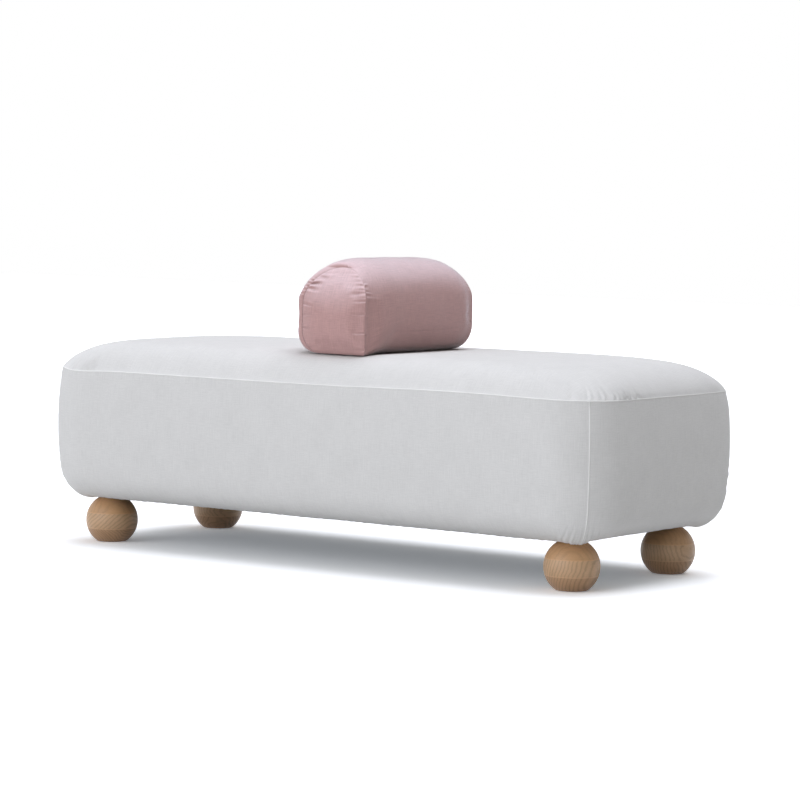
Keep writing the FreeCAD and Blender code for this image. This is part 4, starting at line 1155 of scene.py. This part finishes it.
def build_wrap(tree, material):
    settings = bpy.context.scene.divan_bolster
    half_run = half_run_of(settings)
    edge = WRAP_EDGE_STEPS / half_run
    plain_run = 1 - 21 * MM / half_run
    steps = np.concatenate([-1 + edge, np.linspace(-plain_run, plain_run, 52), (1 - edge)[::-1]])
    points = bolster_wrap_points(steps)
    normals = grid_normals(points)
    run = run_along(points)
    ends = (run, run[-1][None, :] - run)
    nearest = np.minimum(*ends)
    halfway = points[len(steps) // 2]
    around = run_round(halfway)
    heights = halfway[:, 2] - settings.base
    swell = blown_up(points, normals, tree, 20 * MM)
    if tree is not None:
        swell = swell - REFILL
    swell = swell * smooth(SWELL_START, SWELL_FULL, nearest)
    swell += 0.8 * MM * ripple_2d(around[None, :] + 0 * run, run, 0.12, 7) * smooth(0.0, 40 * MM, nearest)
    fold = np.zeros(run.shape)
    for seed, inward in zip(PLEAT_SEEDS, ends):
        folds = pleats(seed, around, heights, settings)
        fold += gathers(around[None, :], inward, *folds) * smooth(0.2 * MM, 2.6 * MM, inward)
    plain = plain_part(heights / settings.end_height)[None, :]
    dip = -SEAM_DIP * plain * (bell(ends[0], SEAM_DIP_WIDTH) + bell(ends[1], SEAM_DIP_WIDTH))
    above = smooth(settings.base + 3 * MM, settings.base + 16 * MM, points[..., 2])
    points = points + normals * ((swell + fold) * above + dip)[..., None]
    points[..., 2] = np.maximum(points[..., 2], settings.base)
    uv = np.stack([np.broadcast_to(around[None, :], run.shape), run], axis=-1)
    # Marks for the painted shade along the end seams
    seam_line = bell(nearest, SEAM_LINE_WIDTH) * plain
    sew_panel("bolster_wrap", points[:, ::-1], uv[:, ::-1], seam_line[:, ::-1], fold[:, ::-1], material)


def build_end(sign, node, tree, material):
    settings = bpy.context.scene.divan_bolster
    steps = np.concatenate([END_EDGE_STEPS / settings.half_width,
                            np.linspace(22 * MM / settings.half_width, 0.985, 26)])
    points = bolster_end_points(sign, steps)
    facing = np.array([0.0, float(sign), 0.0])
    run = run_along(points)
    swell = blown_up(points, np.broadcast_to(facing, points.shape), tree, 22 * MM)
    swell = swell * smooth(SWELL_START, SWELL_FULL, run)
    fold = level_pleats(points, LEVEL_PLEAT_SEEDS[sign], settings) * smooth(0.2 * MM, 2.5 * MM, run)
    plain = plain_part((points[..., 2] - settings.base) / settings.end_height)
    dip = -SEAM_DIP * bell(run, SEAM_DIP_WIDTH) * plain
    points = points + facing * (swell + fold + dip)[..., None]
    # Marks for the painted shade along the end seams
    seam_line = bell(run, SEAM_LINE_WIDTH) * plain
    order = slice(None, None, -sign)
    sew_panel(node, points[:, order], points[:, order, ::2], seam_line[:, order], fold[:, order], material)


def build_filling():
    """A fleece-wrapped core inside the bolster's cloth, clear of its gathers."""
    points = bolster_wrap_points(np.linspace(-0.96, 0.96, 49))
    middle = points.mean(axis=1, keepdims=True)
    points = (middle + (points - middle) * np.array([0.90, 1.0, 0.91]))[:, ::3][:, ::-1]
    core = grid_piece("bolster_filling", points, points[..., :2], np.zeros(points.shape[:2]), closed=True)
    close_ends(core)
    turn_outward(core)
    dress(core, fleece("bolster_fleece"), "bolster", "bolster_core", angle=40)


# Pieces inside: copies of the soft nodes with a surface of their own

PAD_CLEARANCE = 8 * MM
WADDING_CLEARANCE = 5 * MM


def build_padding():
    seat_foam = foam("seat_foam_cells", (0.80, 0.76, 0.62))
    edge_foam = foam("border_foam_cells", (0.62, 0.70, 0.76), 1.8 * MM)
    wadding = fleece("fleece")
    dress(node_copy("seat_foam", "_block"), seat_foam, "divan", "seat_foam", angle=30)
    for side in SIDES:
        node = "border_pad_" + side
        pad = node_copy(node, "_foam")
        hold_back(pad, PAD_CLEARANCE)
        dress(pad, edge_foam, "divan", node, angle=30)
    crown = node_copy("crown_wadding", "_fleece")
    hold_back(crown, WADDING_CLEARANCE)
    dress(crown, wadding, "divan", "crown_wadding", angle=30)


def map_straps(obj, along, pitch):
    """Gives a strap's mesh a map in metres, along it and across it."""
    mesh = obj.data
    layer = mesh.uv_layers.new(name="cloth")
    across = 1 - along
    for loop in mesh.loops:
        place = mesh.vertices[loop.vertex_index].co
        offset = place[across] - pitch * round(place[across] / pitch)
        layer.data[loop.index].uv = (place[along], offset)


def build_suspension():
    strap = strap_cloth("webbing_weave")
    for node, along, pitch in (("webbing_front_to_back", 1, 140 * MM), ("webbing_end_to_end", 0, 110 * MM)):
        straps = node_copy(node, "_straps")
        map_straps(straps, along, pitch)
        dress(straps, strap, "divan", node, angle=20)
    felt = felted("deck_felt_fibres", (0.33, 0.33, 0.32), (0.55, 0.54, 0.52))
    dress(node_copy("deck_felt", "_sheet"), felt, "divan", "deck_felt", angle=30)


STAPLES = {"Pitch": 45 * MM, "Crown": 10 * MM, "Wire": 0.6 * MM}
STAPLE_SEED = 4
STAPLE_WOBBLE = 0.25


def staple_tree():
    """Geometry nodes: wire staples along a mesh line, every so often, square to it."""
    group = bpy.data.node_groups.new("staples", "GeometryNodeTree")
    face = group.interface
    face.new_socket("Line", in_out="INPUT", socket_type="NodeSocketGeometry")
    for name, value in STAPLES.items():
        face.new_socket(name, in_out="INPUT", socket_type="NodeSocketFloat").default_value = value
    face.new_socket("Seed", in_out="INPUT", socket_type="NodeSocketInt").default_value = STAPLE_SEED
    face.new_socket("Material", in_out="INPUT", socket_type="NodeSocketMaterial")
    face.new_socket("Staples", in_out="OUTPUT", socket_type="NodeSocketGeometry")
    tree = Tree(group)
    source = tree.add("NodeGroupInput").outputs
    curve = tree.add("GeometryNodeMeshToCurve", {"Mesh": source["Line"]}).outputs["Curve"]
    points = tree.add("GeometryNodeCurveToPoints", {"Curve": curve, "Length": source["Pitch"]},
                      mode="LENGTH").outputs
    bar = tree.add("GeometryNodeMeshCylinder", {"Vertices": 6, "Radius": source["Wire"],
                                                "Depth": source["Crown"]}).outputs["Mesh"]
    lay = tree.add("GeometryNodeTransform", {"Geometry": bar, "Rotation": (math.pi / 2, 0, 0)})
    tangent = tree.add("FunctionNodeAlignRotationToVector", {"Vector": points["Tangent"]},
                       axis="X", pivot_axis="Z").outputs["Rotation"]
    wobble = tree.add("FunctionNodeRandomValue", {2: -STAPLE_WOBBLE, 3: STAPLE_WOBBLE,
                                                  "Seed": source["Seed"]}, data_type="FLOAT").outputs[1]
    extra = tree.add("ShaderNodeCombineXYZ", {"Z": wobble}).outputs[0]
    spin = tree.add("FunctionNodeEulerToRotation", {0: extra}).outputs[0]
    turn = tree.add("FunctionNodeRotateRotation", {"Rotation": tangent, "Rotate By": spin},
                    rotation_space="LOCAL").outputs["Rotation"]
    scatter = tree.add("GeometryNodeInstanceOnPoints", {
        "Points": points["Points"], "Instance": lay.outputs["Geometry"], "Rotation": turn})
    real = tree.add("GeometryNodeRealizeInstances", {"Geometry": scatter.outputs["Instances"]})
    painted = tree.add("GeometryNodeSetMaterial", {"Geometry": real.outputs["Geometry"],
                                                   "Material": source["Material"]})
    tree.add("NodeGroupOutput", {"Staples": painted.outputs["Geometry"]})
    return group


def build_dust_cover(steel):
    cloth = node_copy("dust_cover", "_cloth")
    felt = felted("dust_cloth_fibres", (0.045, 0.045, 0.05), (0.10, 0.10, 0.11), 700.0, 0.3 * MM)
    dress(cloth, felt, "divan", "dust_cover", angle=30)

    from_edge = 7 * MM
    half_x = DUST_BOX[1].x - from_edge
    half_y = DUST_BOX[1].y - from_edge
    level = DUST_BOX[0].z - 0.5 * MM
    corners = [(-half_x, -half_y), (half_x, -half_y), (half_x, half_y), (-half_x, half_y)]
    mesh = bpy.data.meshes.new("staple_line")
    mesh.from_pydata([(x, y, level) for x, y in corners], [(0, 1), (1, 2), (2, 3), (3, 0)], [])
    line = link(mesh, "dust_cover_staples")
    modifier = line.modifiers.new("staples", "NODES")
    modifier.node_group = staple_tree()
    values = {**STAPLES, "Seed": STAPLE_SEED, "Material": steel}
    for item in modifier.node_group.interface.items_tree:
        if item.in_out == "INPUT" and item.name in values:
            modifier[item.identifier] = values[item.name]
    settle(line)
    dress(line, steel, "divan")


# Frame, fasteners and feet keep their nodes and get their finishes


def finish_frame(steel):
    long_ply = plywood("plywood_long", 1)
    cross_ply = plywood("plywood_across", 0)
    finishes = (("rail_front", long_ply), ("rail_back", long_ply), ("rail_", cross_ply),
                ("cross_rail_", cross_ply), ("corner_block_", pine("corner_pine")),
                ("corner_screws", steel), ("hanger_bolts", steel), ("threaded_inserts", steel))
    for name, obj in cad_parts.items():
        for start, material in finishes:
            if name.startswith(start):
                paint(obj, material)
                break


# How each foot's three boards lie, from the floor up

FOOT_TURNS = {
    "foot_front_left": (1.9, 0.15, 2.3),
    "foot_front_right": (0.95, 1.25, 2.6),
    "foot_back_left": (0.4, 2.0, 1.1),
    "foot_back_right": (1.2, 1.75, 0.2),
}


def finish_feet():
    for number, (name, turns) in enumerate(FOOT_TURNS.items()):
        # The back feet are darkened to 0.84: painted shade for the feet that stand in the shade under the
        # divan
        shade = 0.84 if "_back_" in name else 1.0
        paint(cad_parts[name], oak("oak_" + name, turns, number * 1.7 + 0.6, shade))
    paint(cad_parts["foot_glides"],
          felted("glide_felt_fibres", (0.10, 0.09, 0.08), (0.22, 0.20, 0.18)))


# Studio


def studio_material(name, colour, shown):
    """A matt surface that shows a little lighter than it lights, so that it reads as white."""
    recipe = Recipe(name)
    path = recipe.add("ShaderNodeLightPath").outputs
    seen = recipe.math("MAXIMUM", path["Is Camera Ray"], path["Is Glossy Ray"])
    seen = recipe.math("MAXIMUM", seen, path["Is Transmission Ray"])
    grit = recipe.noise(recipe.place(), 60, 2, 0.5)
    return recipe.finish(recipe.blend(seen, colour, shown), 0.9, recipe.relief(grit, 0.05 * MM, 0.1), {
        "Specular IOR Level": 0.0, "Emission Color": (0.86, 0.93, 1.0),
        "Emission Strength": recipe.math("MULTIPLY", seen, 0.17)})


def sun_lamp(name, way, strength, softness, colour):
    """A wide soft lamp, far off in the direction given."""
    data = bpy.data.lights.new(name, "SUN")
    data.energy = strength
    data.angle = softness
    data.color = colour
    link(data, name).rotation_euler = (-Vector(way)).to_track_quat("-Z", "Y").to_euler()


def build_world(settings):
    """An even white where the camera looks, and for light a sky that is brighter on one side."""
    world = bpy.data.worlds.new("studio")
    bpy.context.scene.world = world
    world.use_nodes = True
    tree = Tree(world.node_tree)
    path = tree.add("ShaderNodeLightPath").outputs
    seen = tree.math("MAXIMUM", path["Is Camera Ray"], path["Is Glossy Ray"])
    place = tree.add("ShaderNodeTexCoord").outputs["Generated"]
    aim = tree.add("ShaderNodeVectorMath", {0: place, 1: Vector(settings.sky_way).normalized()},
                   operation="DOT_PRODUCT").outputs["Value"]
    sky = tree.blend(tree.span(aim, -1.0, 1.0), settings.sky_dim, settings.sky_bright)
    tree.feed(world.node_tree.nodes["Background"].inputs[0], tree.blend(seen, sky, (1, 1, 1)))


def build_camera(settings):
    data = bpy.data.cameras.new("camera")
    data.lens = settings.lens
    data.sensor_width = 36
    data.clip_start = 0.1
    data.clip_end = 100
    camera = link(data, "camera")
    turn, pitch, roll = settings.camera_turn, settings.camera_pitch, settings.camera_roll
    back_way = Vector((math.sin(turn) * math.cos(pitch), -math.cos(turn) * math.cos(pitch),
                       math.sin(pitch)))
    right = Vector((math.cos(turn), math.sin(turn), 0))
    up = back_way.cross(right)
    leaned_right = right * math.cos(roll) + up * math.sin(roll)
    leaned_up = up * math.cos(roll) - right * math.sin(roll)
    axes = Matrix((leaned_right, leaned_up, back_way)).transposed()
    camera.matrix_world = Matrix.Translation(settings.camera_place) @ axes.to_4x4()
    bpy.context.scene.camera = camera
    bpy.context.scene.view_settings.view_transform = "Standard"


def build_stage():
    settings = bpy.context.scene.divan_stage
    mesh = bpy.data.meshes.new("studio_floor")
    reach = 14.0
    mesh.from_pydata([(-reach, -reach, 0), (reach, -reach, 0), (reach, reach, 0), (-reach, reach, 0)],
                     [], [(0, 1, 2, 3)])
    floor = link(mesh, "studio_floor")
    paint(floor, studio_material("studio_white", settings.floor_colour, (1.3, 1.3, 1.3)))
    build_world(settings)
    sun_lamp("key", settings.key_way, settings.key_strength, settings.key_softness, settings.key_colour)
    sun_lamp("fill", settings.fill_way, settings.fill_strength, settings.fill_softness,
             settings.fill_colour)
    build_camera(settings)


# Operators, one for each group of like pieces


class DIVAN_OT_cover(bpy.types.Operator):
    """Sew the five panels of the cover, with their raised seams"""
    bl_idname = "divan.cover"
    bl_label = "Cover"

    def execute(self, context):
        colour = tuple(context.scene.divan_cover.colour)
        # The paler seam tone is a painted highlight along the raised seams
        cloth = woven_cloth("pale_linen", colour, 0.055, tone(colour, 1.26), 0.35 * MM, 0.88, {
            "Sheen Weight": 0.12, "Sheen Roughness": 0.5, "Specular IOR Level": 0.2})
        for side in SIDES:
            build_wall(side, cloth)
        build_seat(cloth)
        return {"FINISHED"}


class DIVAN_OT_padding(bpy.types.Operator):
    """Lay the foam, border pads and wadding"""
    bl_idname = "divan.padding"
    bl_label = "Padding"

    def execute(self, context):
        build_padding()
        return {"FINISHED"}


class DIVAN_OT_suspension(bpy.types.Operator):
    """Stretch the webbing and lay the deck felt"""
    bl_idname = "divan.suspension"
    bl_label = "Suspension"

    def execute(self, context):
        build_suspension()
        return {"FINISHED"}


class DIVAN_OT_frame(bpy.types.Operator):
    """Finish the plywood, pine and fasteners, and staple the dust cover"""
    bl_idname = "divan.frame"
    bl_label = "Frame and dust cover"

    def execute(self, context):
        steel = zinc("zinc_plate")
        finish_frame(steel)
        build_dust_cover(steel)
        return {"FINISHED"}


class DIVAN_OT_feet(bpy.types.Operator):
    """Finish the turned oak feet and their felt glides"""
    bl_idname = "divan.feet"
    bl_label = "Feet"

    def execute(self, context):
        finish_feet()
        return {"FINISHED"}


class DIVAN_OT_bolster(bpy.types.Operator):
    """Fill and sew the loose bolster"""
    bl_idname = "divan.bolster"
    bl_label = "Bolster"

    def execute(self, context):
        settings = context.scene.divan_bolster
        colour = tuple(settings.colour)
        shine = {"Sheen Weight": 1.0, "Sheen Roughness": 0.34, "Sheen Tint": settings.sheen_colour,
                 "Specular IOR Level": 0.25}
        # The two blush materials differ only in the slopes at which their painted highlight on upward-facing
        # cloth sets in
        wrap_cloth, end_cloth = [
            # The darker seam tone is painted shade along the seams and in the folds
            woven_cloth(name, colour, 0.13, tone(colour, 0.8), 0.3 * MM, 0.75, shine,
                        (settings.painted_highlight_colour, *slopes))
            for name, slopes in (("blush_cloth", (0.25, 0.95)), ("blush_cloth_ends", (0.10, 0.72)))]
        tree = filled_shape(settings)
        build_wrap(tree, wrap_cloth)
        build_end(-1, "bolster_end_panel_front", tree, end_cloth)
        build_end(1, "bolster_end_panel_back", tree, end_cloth)
        return {"FINISHED"}


class DIVAN_OT_filling(bpy.types.Operator):
    """Stuff the bolster"""
    bl_idname = "divan.filling"
    bl_label = "Bolster filling"

    def execute(self, context):
        build_filling()
        return {"FINISHED"}


class DIVAN_OT_stage(bpy.types.Operator):
    """Set up the pale studio, its soft lamps and the camera"""
    bl_idname = "divan.stage"
    bl_label = "Studio"

    def execute(self, context):
        build_stage()
        return {"FINISHED"}


class DIVAN_PT_panel(bpy.types.Panel):
    bl_label = "Divan"
    bl_idname = "DIVAN_PT_panel"
    bl_space_type = "VIEW_3D"
    bl_region_type = "UI"
    bl_category = "Divan"

    def draw(self, context):
        for operator in OPERATORS:
            self.layout.operator(operator.bl_idname)
        for name in SETTINGS:
            group = getattr(context.scene, name)
            box = self.layout.box()
            for key in group.bl_rna.properties.keys():
                if key not in ("rna_type", "name"):
                    box.prop(group, key)


SETTINGS = {"divan_cover": CoverSettings, "divan_bolster": BolsterSettings, "divan_stage": StageSettings}
OPERATORS = (DIVAN_OT_cover, DIVAN_OT_padding, DIVAN_OT_suspension, DIVAN_OT_frame, DIVAN_OT_feet,
             DIVAN_OT_bolster, DIVAN_OT_filling, DIVAN_OT_stage)
CLASSES = (*SETTINGS.values(), *OPERATORS, DIVAN_PT_panel)


def register():
    for item in CLASSES:
        bpy.utils.register_class(item)
    for name, group in SETTINGS.items():
        setattr(bpy.types.Scene, name, bpy.props.PointerProperty(type=group))


def unregister():
    for name in SETTINGS:
        delattr(bpy.types.Scene, name)
    for item in reversed(CLASSES):
        bpy.utils.unregister_class(item)


def main():
    register()
    bpy.ops.divan.cover()
    bpy.ops.divan.padding()
    bpy.ops.divan.suspension()
    bpy.ops.divan.frame()
    bpy.ops.divan.feet()
    bpy.ops.divan.bolster()
    bpy.ops.divan.filling()
    bpy.ops.divan.stage()


if __name__ == "__main__":
    main()
